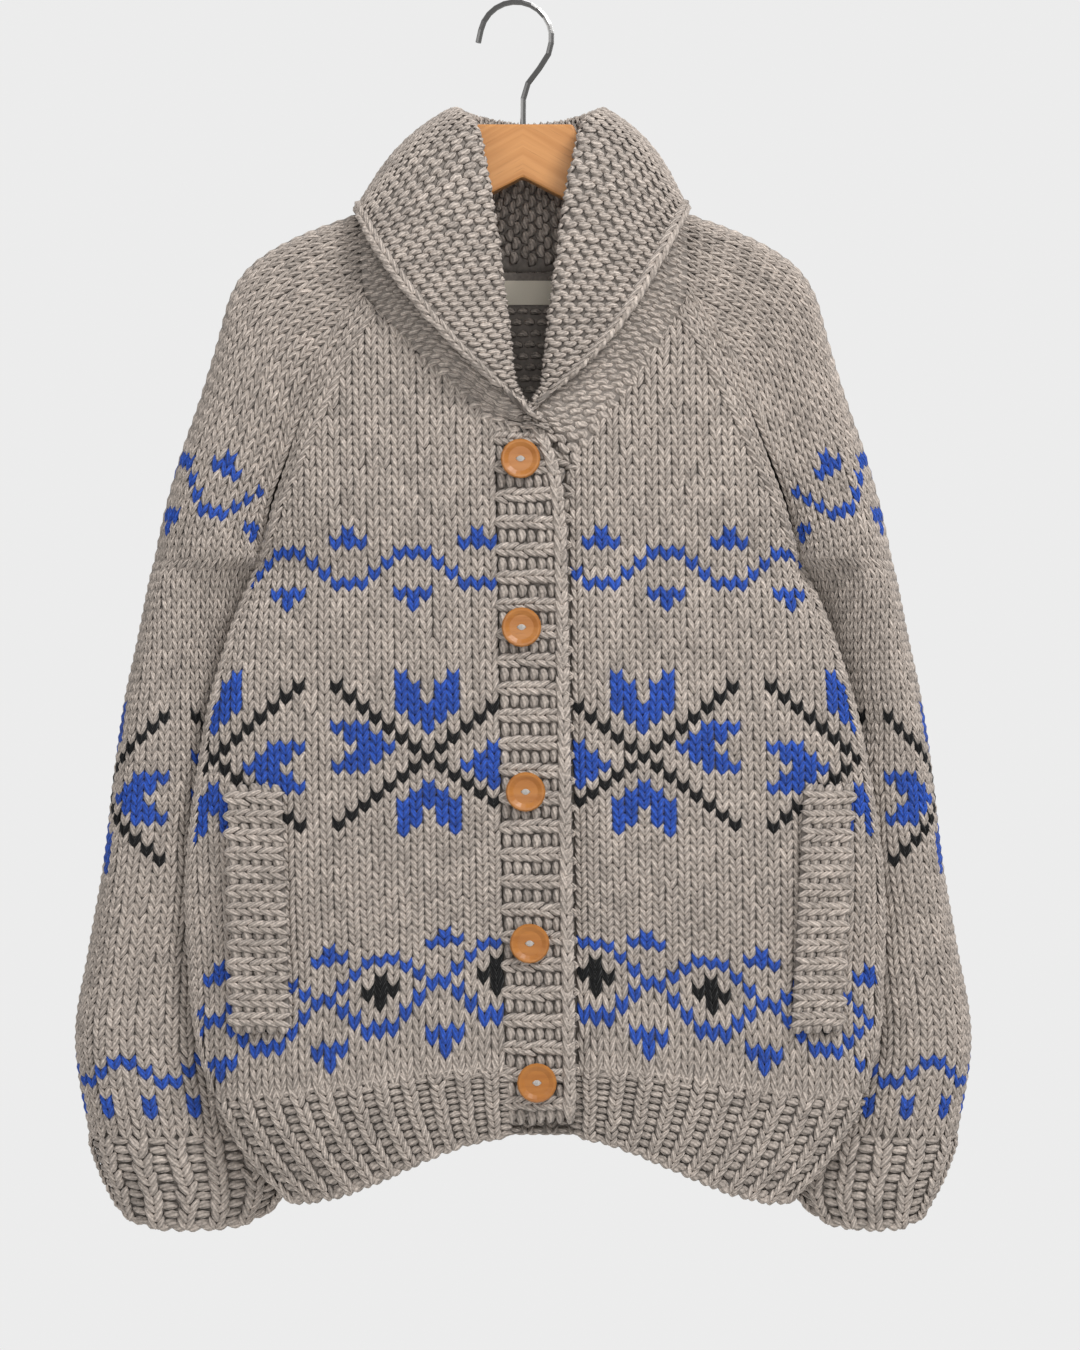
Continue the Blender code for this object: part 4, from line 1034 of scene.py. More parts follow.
# Rows of a panel face from rib to neck. Those below the underarm sink as they hang
def faceRows(face, cutRow):
    cells = knit["gridCells"]
    keys = np.linspace(ribTopZ, underarmZ, 75)
    dense = np.array([even(cutRow(bodySection(z, face)), cells) for z in keys])
    share = np.linspace(0, 1, cells + 1)
    column = np.arange(cells + 1)
    rows = []
    for z in np.linspace(ribTopZ, underarmZ, knit["lowRows"] + 1)[:-1]:
        middle = np.interp(sagTable.at(z, "centre"), bodyTable.at(keys, face + "Z"), keys)
        where = (z + (middle - z) * (1 - share) - keys[0]) / (keys[1] - keys[0])
        first = np.clip(np.floor(where).astype(int), 0, len(keys) - 2)
        part = (where - first)[:, None]
        rows.append((1 - part) * dense[first, column] + part * dense[first + 1, column])
    for yoke in np.linspace(0, 1, knit["yokeRows"] + 1):
        rows.append(even(cutRow(yokeSection(yoke, face)), cells))
    return np.array(rows)


def frontFabric(side):
    fabric = Fabric(faceRows("front", lambda section: frontCut(section, side)), -1, wales=1)
    fabric.scale[:] = knit["wale"]
    low = knit["lowRows"]
    fabric.base[low:] = fabric.grid[low, 0, 0] - fabric.grid[low:, 0, 0]
    return fabric


def backFabric():
    half = faceRows("back", lambda section: section)
    whole = np.concatenate([mirrored(half[:, :0:-1], -1), half], axis=1)
    fabric = Fabric(whole, 1, wales=1)
    fabric.scale[:] = knit["wale"]
    fabric.base[:] = fabric.length / 2 - knit["backWales"] / 2 * knit["wale"]
    return fabric


def sleeveFabric(side):
    low = knit["sleeveLowRows"]
    rings = [sleeveRing(z, side) for z in np.linspace(cuffTopZ, underarmZ, low + 1)[:-1]]
    caps = [capRing(share, side) for share in np.linspace(0, 1, knit["capRows"] + 1)]
    grid = np.array([even(ring, 2 * knit["gridCells"]) for ring in rings + caps])
    fabric = Fabric(grid, -1, wales=knit["sleeveWales"], closedRows=low)
    foreHalves = np.array(caps)[:, : denseCount + 1]
    ridge = np.linalg.norm(np.diff(foreHalves, axis=1), axis=2).sum(axis=1)
    fabric.scale[low:] = fabric.scale[low]
    fabric.base[low:] = ridge - ridge[0]
    return fabric


# Row and wale of every stitch of a panel, cut off along its seams, and the wales that
# border them as (base, first row) pairs
def panelCells(fabric, low, bothEnds, closed, doubled):
    start = low if closed else 0
    cells = [(r, c) for r in range(start) for c in range(knit["sleeveWales"])]
    edge = knit["seamWale"] * fabric.scale[low]
    for r in range(start if closed else -1, len(fabric.grid) - 1):
        length, base, scale = (v[max(r, 0)] for v in (fabric.length, fabric.base, fabric.scale))
        reach = knit["seamReach"] * scale
        first = edge - reach if bothEnds else -knit["bandReach"] * scale
        last = length - edge * (2 if doubled and r >= low else 1) + reach
        for c in range(-4, math.ceil((length - base) / scale) + 2):
            if first < base + (c + 0.5) * scale < last:
                cells.append((max(r, knit["lapRow"]), c))  # the lowest row laps over the rib
    borders = [(fabric.length - edge, start)]
    if doubled:
        borders.append((fabric.length - 2 * edge, low))
    if bothEnds:
        borders.append((np.zeros(len(fabric.length)), start))
    return np.array(cells), borders


# Stranded colours: repeats given as charts, B blue and K black, top row first
bands = {
    "chest": (
        "......B...",
        ".....BBB..",
        "BBB.......",
        "...B.....B",
        "....B...B.",
        ".....BBB..",
        "BBB.......",
        ".B........",
    ),
    "crosses": (
        "......B...B......",
        ".K....BB.BB....K.",
        "..K...BB.BB...K..",
        "...K..BBBBB..K...",
        "....K..BBB..K....",
        ".....K..B..K.BBB.",
        "......K...K.BBB..",
        ".BBB...K.K.BBB...",
        "..BBB...K...BBB..",
        "...BBB.K.K...BBB.",
        "..BBB.K...K......",
        ".BBB.K..B..K.....",
        "....K..BBB..K....",
        "...K..BBBBB..K...",
        "..K...BB.BB...K..",
        ".K....BB.BB....K.",
        "......B...B......",
    ),
    "lenses": (
        "........B",
        "B......BB",
        "...BBB...",
        "..B...B..",
        ".B..K..B.",
        "B..KKK..B",
        ".B..K..B.",
        "..B...B..",
        "...BBB...",
        "B......BB",
        "........B",
    ),
    "sleeveHem": (
        "BB....",
        "..B..B",
        "...BB.",
        "......",
        "..B..B",
        "..B..B",
    ),
}
# Each band as (chart, its lowest row, the wale that its first column falls on)
bandPlaces = {
    "right": (("chest", 47, -5), ("crosses", 24, -3), ("lenses", 1, -4)),
    "left": (("chest", 47, -4), ("crosses", 24, -3), ("lenses", 1, -3)),
    "sleeve": (("chest", 59, 11), ("crosses", 26, 9), ("sleeveHem", 2, 5)),
}


# Dye number of each cell. column gives a wale's place in the repeats
def tonesOf(cells, places, column=int):
    tones = np.zeros(len(cells), int)
    for i, (r, c) in enumerate(cells):
        for name, bottom, first in places:
            chart = bands[name]
            line = len(chart) - 1 - (int(r) - bottom)
            if 0 <= line < len(chart):
                mark = chart[line][(column(c) - first) % len(chart[0])]
                if mark != ".":
                    tones[i] = ".BK".index(mark)
    return tones


# bothEnds has a seam at each side, closed is a tube below row low, doubled has two border
# wales by the raglan, and a split panel's stitches are two pieces
def panelPieces(
    name, node, fabric, low, tones, side=1, bothEnds=False, closed=False, doubled=False, split=0
):
    plain = fabric.grid
    fabric.grid = creased(plain, fabric.out, creases[node], closed)
    fabric.grid = seamed(plain, fabric.grid, fabric.out, low, bothEnds, closed)
    fabric.grid = fabric.sunk(knit["yarnDepth"])
    cells, borders = panelCells(fabric, low, bothEnds, closed, doubled)
    colours = tones(cells)
    count = len(fabric.grid)
    parts = [("stitches", -1, count)]
    if split:
        parts = [("lower_stitches", -1, split), ("upper_stitches", split, count)]
    for label, start, end in parts:
        chosen = (cells[:, 0] >= start) & (cells[:, 0] < end)
        sets = [stitchSet(fabric, cells[chosen], knitStitch, colours[chosen])]
        for base, first in borders:
            along = [(r, 0) for r in range(max(first, start), min(end, count - 1))]
            lift = lambda r, c: knit["borderLift"]
            sets.append(stitchSet(fabric, along, knitStitch, None, lift, base))
        stitchPiece(f"{name}_{label}", sets, side)
    outer = fabric.sunk(knit["shellDepth"] - knit["yarnDepth"])
    inner = fabric.sunk(wallThick - knit["yarnDepth"])
    shell = shellPiece(f"{name}_cloth", outer, inner, node, side)


for hand, side in (("right", -1), ("left", 1)):
    panelPieces(
        f"{hand}_front_knit", f"{hand}_front", frontFabric(side), knit["lowRows"],
        lambda cells: tonesOf(cells, bandPlaces[hand]), side, doubled=True,
    )
    panelPieces(
        f"{hand}_sleeve_knit", f"{hand}_sleeve", sleeveFabric(side), knit["sleeveLowRows"],
        lambda cells: tonesOf(cells, bandPlaces["sleeve"]), side, bothEnds=True, closed=True,
    )
backKnit = backFabric()
backMiddle = (knit["backWales"] - 1) / 2  # the repeats are mirrored there
panelPieces(
    "back_knit", "back", backKnit, knit["lowRows"],
    lambda cells: tonesOf(
        cells, bandPlaces["left"], lambda c: math.floor(abs(c - backMiddle)) - 1
    ),
    bothEnds=True, split=knit["splitRow"],
)


# Ribbed pieces: one wale of V's on each rib, one of purl bumps in each groove. Shares are a
# stitch's width in wales
ribbing = {
    "hemShare": 0.53,
    "bandShare": 0.50,
    "weltShare": 0.74,
    "insideShare": 0.5,
    "purlShare": 0.64,
    # the purl bumps in the rib grooves are painted darker by this share: painted shade in the
    # grooves
    "purlPaintedShade": 0.93,
    "purlRise": 0.25,
    "yarnDepth": 0.0022,
    "purlDepth": 0.0009,
    "shellDepth": 0.0038,
    "wallDepth": 0.0046,
    "flank": 0.3,  # of a rib's width
    "cellsPerRib": 8,
    "pointsPerRib": 3,
    "topRise": 0.3,  # of the ribs' height, where they run into the plain rows
    "topRows": 1.5,
    "bandStart": 0.55,  # the buttonhole band's ribs at its seam, of their height
    "bandStartRows": 3,
    "bandEnd": 0.8,  # how much of their height the button band's lose at its free edge
    "bandEndRows": 2,
    "spread": 1.08,  # cut width for each metre as it hangs
}
castOnRow = {"row": -0.40, "share": 0.58, "rise": 0.8, "depth": 0.00154}
ribbedRows = {"hem": 12, "cuff": 10, "welt": 5, "band": 7}


def ribProfile(c):
    part = c - np.floor(c)
    return softStep((0.5 - np.abs(part - 0.5)) / ribbing["flank"])


# The height of ribs that run into plain rows at the top
def fadingRise(rows):
    def rise(r, c):
        late = softStep((r - rows) / ribbing["topRows"] + 1)
        return ribHeight * (1 - (1 - ribbing["topRise"]) * late)

    return rise


# rise gives the ribs' height at a row and wale; flat, the cut size or its length alone, is not
# used
def ribbedPieces(
    name, node, fabric, ribs, rise, flat, side=1, share="hemShare", closed=False, castOn=False,
):
    rows = len(fabric.grid) - 1
    sets = [
        stitchSet(
            fabric, [(r, c) for r in range(rows) for c in range(ribs)], knitStitch,
            lift=lambda r, c: rise(r, c) - ribbing["yarnDepth"],
            wide=ribbing[share], blunt=castOn,
        ),
        stitchSet(
            fabric, [(r, c - 0.5) for r in range(rows) for c in range(ribs + (not closed))],
            ribPurl, lift=lambda r, c: ribbing["purlRise"] * rise(r, c) - ribbing["purlDepth"],
            wide=ribbing["purlShare"],
        ),
    ]
    # The purl bumps in the grooves are darkened: painted shade
    sets[1]["dyeAndShade"] = sets[1]["dyeAndShade"] * ribbing["purlPaintedShade"]
    if castOn:  # the edge row, over ribs and grooves alike
        sets.append(
            stitchSet(
                fabric, [(castOnRow["row"], c / 2 - 0.25) for c in range(2 * ribs)], ribPurl,
                lift=lambda r, c: (
                    castOnRow["rise"] * rise(r, c) * ribProfile(c) - castOnRow["depth"]
                ),
                wide=castOnRow["share"],
            )
        )
    stitches = stitchPiece(f"{name}_stitches", sets, side)
    c = np.linspace(0, ribs, ribs * ribbing["cellsPerRib"] + 1)[None, :].repeat(rows + 1, axis=0)
    r = np.arange(rows + 1.0)[:, None].repeat(c.shape[1], axis=1)
    high = rise(r, c) * ribProfile(c)
    outer = fabric.spot(r, c, high - ribbing["shellDepth"])
    inner = fabric.spot(r, c, np.full_like(high, -ribbing["wallDepth"]))
    shell = shellPiece(f"{name}_cloth", outer, inner, node, side)
    if isinstance(flat, float):
        flat = (float(fabric.length.max()) * ribbing["spread"], flat)


# A fabric of the given rows that faces the front
def facingFront(rows, wales):
    fabric = Fabric(np.array(rows), -1, wales=wales)
    if fabric.out[..., 1].mean() > 0:
        fabric.out = -fabric.out
    return fabric


def hemFabric(face, side, ribs):
    rows = []
    for share in np.linspace(1, 0, ribbedRows["hem"] + 1):
        section = bodySection(ribTopZ + share * (hemZ - ribTopZ), face)
        if face == "front":
            section = frontCut(section, side)
        else:
            section = np.concatenate([mirrored(section[:0:-1], -1), section])
        rows.append(even(section, ribs * ribbing["pointsPerRib"]))
    return Fabric(np.array(rows), -1 if face == "front" else 1, wales=ribs)


hemRise = fadingRise(ribbedRows["hem"])
for hand, side in (("right", -1), ("left", 1)):
    ribbedPieces(
        f"{hand}_front_hem", f"{hand}_hem_rib", hemFabric("front", side, frontHemRibs),
        frontHemRibs, hemRise, 0.080, side, castOn=True,
    )
backHem = hemFabric("back", 1, backHemRibs)
ribbedPieces("back_hem", "back_hem_rib", backHem, backHemRibs, hemRise, 0.078, castOn=True)

# The back rib's inner face, seen below the front bands
insideRibs = {"ribs": 7, "rows": 6, "depth": 0.0043}
backHem.grid = backHem.sunk(insideRibs["depth"])
backHem.out = -backHem.out
middle = backHemRibs // 2
span = range(middle - insideRibs["ribs"], middle + insideRibs["ribs"])
cells = np.array([(r, c) for r in range(insideRibs["rows"]) for c in span])
share = ribbing["insideShare"]
sets = [
    stitchSet(backHem, cells - (0, 0.5), knitStitch, wide=share, blunt=True),
    stitchSet(backHem, cells, ribPurl, wide=share),
]
stitchPiece("back_hem_inside_stitches", sets)
print("hem ribs")

for hand, side in (("right", -1), ("left", 1)):
    rings = []
    for share in np.linspace(1, 0, ribbedRows["cuff"] + 1):
        ring = sleeveRing(cuffTopZ + share * (cuffEndZ - cuffTopZ), side)
        middle, half = (ring[:, 0].max() + ring[:, 0].min()) / 2, np.ptp(ring[:, 0]) / 2
        ring[:, 2] += cuffCorner * share * np.abs((ring[:, 0] - middle) / half) ** 4
        rings.append(even(ring, cuffRibs * 4))
    fabric = Fabric(np.array(rings), -1, wales=cuffRibs, closedRows=len(rings))
    ribbedPieces(
        f"{hand}_cuff_knit", f"{hand}_cuff", fabric, cuffRibs, fadingRise(ribbedRows["cuff"]),
        0.068, side, closed=True, castOn=True,
    )
print("cuffs")

# Pocket welts: their ribs run across, so the knitting goes from the pocket's edge outward
for hand, side, nearTop, farTop, nearEnd, farEnd in weltPlaces:
    rows = []
    for part in np.linspace(0, 1, ribbedRows["welt"] + 1):
        row = []
        for share in np.linspace(0, 1, weltRibs * ribbing["pointsPerRib"] + 1):
            z = weltEndZ + share * (weltTopZ - weltEndZ)
            near = nearEnd + share * (nearTop - nearEnd)
            far = farEnd + share * (farTop - farEnd)
            x = far + part * (near - far)
            row.append((x, bodyFrontY(x, z), z))
        rows.append(row)
    fabric = facingFront(rows, weltRibs)
    fabric.grid = fabric.sunk(-(seamGap + weltRise))
    ribbedPieces(
        f"{hand}_welt", f"{hand}_pocket_welt", fabric, weltRibs, lambda r, c: weltRib,
        (0.205, 0.040), side, "weltShare",
    )
print("pocket welts")


# A point of a front band at a height and part of the way from its seam to its free edge.
# share is how far up the band it is
def topBandPoint(z, part, share):
    sewn = lean(z) - float(frontEdge.at(z, "right")) + seamGap
    free = lean(z) + bandShift + bandHalf
    if z > bandFree.values[0, 0]:
        free = min(free, float(bandFree.at(z, "x")))
    x = sewn + part * (free - sewn)
    return x, -frontDepth(z) - bandForward * softStep((x - sewn) / bandForwardWidth), z


def underBandPoint(z, part, share):
    sewn = lean(z) + float(frontEdge.at(z, "left")) - seamGap
    freeZ = z + underBandRise * softStep((share - underBandRiseFrom) / (1 - underBandRiseFrom))
    free = lean(z) + bandShift - bandHalf + underBandShort
    if freeZ > underFree.values[0, 0]:
        free = max(free, float(underFree.at(freeZ, "x")))
    height = z + part * (freeZ - z)
    back = underBandBack if part > 0 else leftTuck
    return sewn + part * (free - sewn), -frontDepth(height) + back, height


# Front bands, knitted outward from the seam, so their ribs run across
def bandFabric(point, endZ, collarRow):
    topZ = float(yokeSection(collarRow / yokeRows, "front")[0, 2])
    shares = np.linspace(0, 1, bandRibs * ribbing["pointsPerRib"] + 1)
    rows = []
    for part in np.linspace(0, 1, ribbedRows["band"] + 1):
        rows.append([point(endZ + share * (topZ - endZ), part, share) for share in shares])
    return facingFront(rows, bandRibs)


# The share of their height that ribs have on a row: the buttonhole band's near its seam, the
# button band's near its free edge
def bandStart(r):
    start = ribbing["bandStart"]
    return start + (1 - start) * softStep(r / ribbing["bandStartRows"])


def bandEnd(r):
    rows = ribbing["bandEndRows"]
    return 1 - ribbing["bandEnd"] * softStep((r - ribbedRows["band"]) / rows + 1)


topBand = bandFabric(topBandPoint, bandEndZ, rightCollarRow)
ribbedPieces(
    "buttonhole_band_knit", "buttonhole_band", topBand, bandRibs,
    lambda r, c: ribHeight * bandStart(r), (0.048, 0.475), 0, "bandShare",
)
underBand = bandFabric(underBandPoint, underBandEndZ, leftCollarRow)
ribbedPieces(
    "button_band_knit", "button_band", underBand, bandRibs,
    lambda r, c: underBandRib * bandEnd(r), (0.046, 0.470), 0, "bandShare",
)
print("front bands")


# Collar: garter ridges run from the neck seam over the fold to the free edge
collarKnit = {
    "ridge": 0.0080,
    "wale": 0.0100,
    "shellDepth": 0.0016,
    "edgeCentred": (0.2, 0.25),  # shares from where, and over which, the edge has its own centre
    "endBack": (0.1, 0.25),  # and where the left end stops lying further back
    "sunk": 0.0006,  # the ridges' middle below the cloth's face
    "standSunk": 0.0004,
    "ridgeShare": 1.05,
    "chainWide": 0.0085,
    "chainStitch": 0.0088,
    "chainShare": 0.95,
    "chainOver": 0.001,
    "chainLift": 0.0008,
    "bandChainLift": 0.0016,  # the buttonhole band's, above that
    "chainTurn": 0.0045,  # how far the chain's outer end turns back
}


# Middle of the collar's cloth, stations by columns, from the wearer's right to the left
def collarMiddle():
    outs, ins, aways = collarStations()
    length = np.concatenate([[0], np.cumsum(np.linalg.norm(np.diff(outs, axis=0), axis=1))])
    centre = int(np.argmin(np.abs(outs[:, 0] - lean(outs[:, 2])) + 10 * (outs[:, 1] < 0)))
    middle = length[centre]
    rest = (length[-1] - length) / (length[-1] - middle)
    share = np.where(length <= middle, length / middle, rest)
    side = np.where(length <= middle, -1.0, 1.0)
    get = {n: collarTable.at(share, n) for n in collarTable.names[1:]}
    start, over = collarKnit["edgeCentred"]
    late = softStep((share - start) / over)
    edgeMiddle = foldCentre + (edgeCentre - foldCentre) * late
    start, over = collarKnit["endBack"]
    behind = np.where(side > 0, leftEndBack * (1 - softStep((share - start) / over)), 0.0)
    fold, edge = (
        np.stack([at + side * get[f"{n}Half"], get[f"{n}Y"] + behind, get[f"{n}Z"]], axis=1)
        for n, at in (("fold", foldCentre), ("edge", edgeMiddle))
    )
    seam = (outs + ins) / 2 + aways * seamClearance
    tip = unit(unit(fold - edge) + unit(fold - seam))
    along = unit(np.gradient(fold, axis=0))
    along[0], along[-1] = (0, 0, 1), (0, 0, -1)
    tip = unit(tip - along * np.sum(tip * along, axis=1, keepdims=True))
    over = unit(np.cross(tip, along))
    rows = []
    for i in range(len(outs)):
        hinge = fold[i] - tip[i] * foldRadius
        under, upper = hinge - over[i] * foldRadius, hinge + over[i] * foldRadius
        reach = np.linalg.norm(under - seam[i])
        leaving, arriving = seam[i] + aways[i] * reach * 0.35, under - tip[i] * reach * 0.3
        stand = bezier(seam[i], leaving, arriving, under)
        turn = np.linspace(-math.pi / 2, math.pi / 2, foldCells + 1)[1:-1, None]
        bend = hinge + foldRadius * (np.cos(turn) * tip[i] + np.sin(turn) * over[i])
        drop = np.linalg.norm(edge[i] - upper)
        outward = over[i] * get["bulge"][i] * 4 / 3
        leaving = upper - tip[i] * drop * 0.33 + outward
        fall = bezier(upper, leaving, upper + (edge[i] - upper) * 0.67 + outward, edge[i])
        rows.append(np.concatenate([even(stand, standCells), bend, even(fall, fallCells)]))
    grid = np.array(rows)
    way = unit(np.cross(np.gradient(grid, axis=0), np.gradient(grid, axis=1)))
    flip = np.sign(np.sum(way[:, 0] * (ins - outs), axis=1))
    return grid, float(np.sign(flip.sum()))


# Stations read along smooth curves, at even steps of the free edge and the fold together
def smoothStations(grid, step):
    length = np.linalg.norm(np.diff(grid, axis=0), axis=2)
    mean = (length[:, -1] + length[:, standCells + 2]) / 2
    at = np.concatenate([[0], np.cumsum(mean)])
    count = round(at[-1] / step)
    where = np.interp(np.linspace(0, at[-1], count + 1), at, np.arange(len(at)))
    first = np.clip(np.floor(where).astype(int), 0, len(grid) - 2)
    t = (where - first)[:, None, None]
    padded = np.concatenate([2 * grid[:1] - grid[1:2], grid, 2 * grid[-1:] - grid[-2:-1]])
    a, b, c, d = (padded[first + i] for i in range(4))
    square, cube = 2 * a - 5 * b + 4 * c - d, 3 * b - a - 3 * c + d
    return 0.5 * (2 * b + (c - a) * t + square * t**2 + cube * t**3)


coarse, shownSide = collarMiddle()
stations = smoothStations(coarse, collarKnit["ridge"])
collarCloth = Fabric(np.array([even(row, 40) for row in stations]), shownSide, wales=1)
collarCloth.scale[:] = collarKnit["wale"]
shownGrid = collarCloth.sunk(-wallThick / 2)
hiddenGrid = collarCloth.sunk(wallThick / 2)
outer = collarCloth.sunk(collarKnit["shellDepth"] - wallThick / 2)
collarShell = shellPiece("collar_cloth", outer, hiddenGrid, "collar", 0)
collarCloth.grid = shownGrid - collarCloth.out * collarKnit["sunk"]
ridgeCount = len(stations) - 1
cells = []
for r in range(ridgeCount):
    wide = (collarCloth.length[r] - collarKnit["chainWide"] * 0.6) / collarKnit["wale"]
    cells += [(r, wide % 1 + n) for n in range(math.floor(wide))]
garter = stitchSet(collarCloth, cells, garterBump, wide=collarKnit["ridgeShare"])
ridges = stitchPiece("collar_ridges", [garter], 0)
# The same ridges on the other side of the stand, seen between the free edge and the fronts
standSide = Fabric(hiddenGrid, -shownSide, wales=1)
standSide.scale[:] = collarKnit["wale"]
standSide.grid = standSide.sunk(collarKnit["standSunk"])
standReach = np.linalg.norm(np.diff(stations[:, : standCells + 2], axis=1), axis=2).sum(axis=1)
cells = []
for r in range(-1, ridgeCount + 1):
    reach = standReach[np.clip(r, 0, ridgeCount - 1)]
    cells += [(r, n - 0.25) for n in range(math.floor(reach / collarKnit["wale"]) + 1)]
garter = stitchSet(standSide, cells, garterBump, wide=collarKnit["ridgeShare"])
standRidges = stitchPiece("collar_stand_ridges", [garter], 0)
print("collar", len(stations), "ridges")


# A chain of V's along an edge: points of the edge, ways into the cloth and out of it
def chainPiece(name, edge, into, out, lift=0.0):
    length = np.concatenate([[0], np.cumsum(np.linalg.norm(np.diff(edge, axis=0), axis=1))])
    count = round(length[-1] / collarKnit["chainStitch"])
    at = np.linspace(0, length[-1], count + 1)
    edge, into, out = (
        np.stack([np.interp(at, length, v[:, i]) for i in range(3)], axis=1)
        for v in (edge, into, out)
    )
    into, out = unit(into), unit(out)
    rows = []
    for share in np.linspace(0, 1, 7):
        within = collarKnit["chainWide"] * (1 - share) - collarKnit["chainOver"]
        turned = collarKnit["chainTurn"] * softStep((share - 0.62) / 0.38)
        rows.append(edge + into * within + out * (collarKnit["chainLift"] - turned + lift))
    fabric = Fabric(np.array(rows).transpose(1, 0, 2), 1, wales=1)
    if np.sum(fabric.out * out[:, None], axis=2).mean() < 0:
        fabric.out = -fabric.out
    cells = [(r, 0) for r in range(count)]
    chain = stitchSet(fabric, cells, knitStitch, wide=collarKnit["chainShare"])
    stitchPiece(name, [chain], 0)


into = unit(shownGrid[:, -4] - shownGrid[:, -1])
chainPiece("collar_edge_chain", shownGrid[:, -1], into, collarCloth.out[:, -1])
free = topBand.grid[-1]
into, out = (np.broadcast_to(np.array(way), free.shape) for way in ((-1.0, 0, 0), (0, -1.0, 0)))
chainPiece("buttonhole_band_chain", free, into, out, collarKnit["bandChainLift"])

# Purl side of the back, seen through the neck, left out behind the label
inside = {"low": -0.31, "halfWide": 0.075, "depth": 0.0002, "aside": 0.004, "above": 0.002}
lowest = int(np.searchsorted(backKnit.grid[:, knit["gridCells"], 2], inside["low"]))
backKnit.grid = backKnit.sunk(wallThick - knit["yarnDepth"] + inside["depth"])
backKnit.out = -backKnit.out
labelLow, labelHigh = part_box("neck_label")
cells = []
for r in range(lowest, len(backKnit.grid) - 1):
    for c in range(knit["backWales"]):
        middle = backKnit.spot(np.array([r + 0.5]), np.array([c + 0.5]), np.zeros(1))[0]
        x, _, z = placed(middle, 1)
        onLabel = labelLow[0] - inside["aside"] < x < labelHigh[0] + inside["aside"]
        onLabel = onLabel and labelLow[2] - inside["above"] < z < labelHigh[2] + inside["above"]
        if abs(x) < inside["halfWide"] and not onLabel:
            cells.append((r, c + 0.25 * (-1) ** r))
stitchPiece("back_inside_purls", [stitchSet(backKnit, cells, purlBump)])
print("inside of the back")


# Wood, with its grain along the bar of the hanger or across a button
woodLook = {
    "beech": ((0.560, 0.262, 0.086), (0.470, 0.205, 0.062)),
    "button": ((0.405, 0.160, 0.034), (0.335, 0.122, 0.024)),
    "beechGrain": (9.0, 70.0, 210.0),
    "buttonGrain": (26.0, 40.0, 210.0),
    "armSlope": 0.56,
    "poreScale": 5.5,
    "poreShade": 0.6,
    "bump": 0.0003,
}


def woodMaterial(name, kind, armSlope, roughness):
    made, shader = newMaterial(name, roughness, Specular_IOR_Level=0.35)
    pale, deep = woodLook[kind]
    along, through, across = woodLook[f"{kind}Grain"]
    x, y, z = split(objectPlace())
    if armSlope:
        z = z + x.math("ABSOLUTE") * armSlope
    place = combined(x * along, y * through, z * across)
    grain = noise(place, 1.0, 4.0, 0.25)
    pores = noise(place, woodLook["poreScale"])
    dark = Shade.node("ShaderNodeMapRange", None, {0: grain, 1: 0.38, 2: 0.70, 3: 0.0, 4: 1.0})
    fleck = Shade.node("ShaderNodeMapRange", None, {0: pores, 1: 0.62, 2: 0.75, 3: 0.0, 4: 0.5})
    colour = mixed(dark, (*pale, 1), (*deep, 1))
    colour = mixed(fleck, colour, (*(woodLook["poreShade"] * v for v in deep), 1))
    join(colour, shader, "Base Color")
    join(0.16 * grain + (roughness - 0.08), shader, "Roughness")
    bumped(shader, grain - pores * 0.4, woodLook["bump"], 0.5)
    return made


steel, shader = newMaterial("steel wire", 0.22, Metallic=1.0, Base_Color=(0.20, 0.197, 0.193, 1))
join(noise(objectPlace(), 900.0) * 0.16 + 0.14, shader, "Roughness")

tape, shader = newMaterial("woven tape", 0.8, Sheen_Weight=0.1)
x, _, z = split(objectPlace())
weave = (x * 9500.0).math("SINE") * (z * 7000.0).math("SINE") * 0.5 + 0.5
join(mixed(weave, (0.80, 0.72, 0.58, 1), (0.96, 0.89, 0.76, 1)), shader, "Base Color")
bumped(shader, weave, 0.0002)

beech = woodMaterial("beech", "beech", woodLook["armSlope"], 0.42)
buttonWood = woodMaterial("button wood", "button", 0, 0.36)
shownAs = {"hanger": beech, "hanger_hook": steel, "neck_label": tape}
shownAs.update({f"button_{number}": buttonWood for number in range(1, 6)})
for node, material in shownAs.items():
    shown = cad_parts[node]
    shown.data.materials.clear()
    shown.data.materials.append(material)

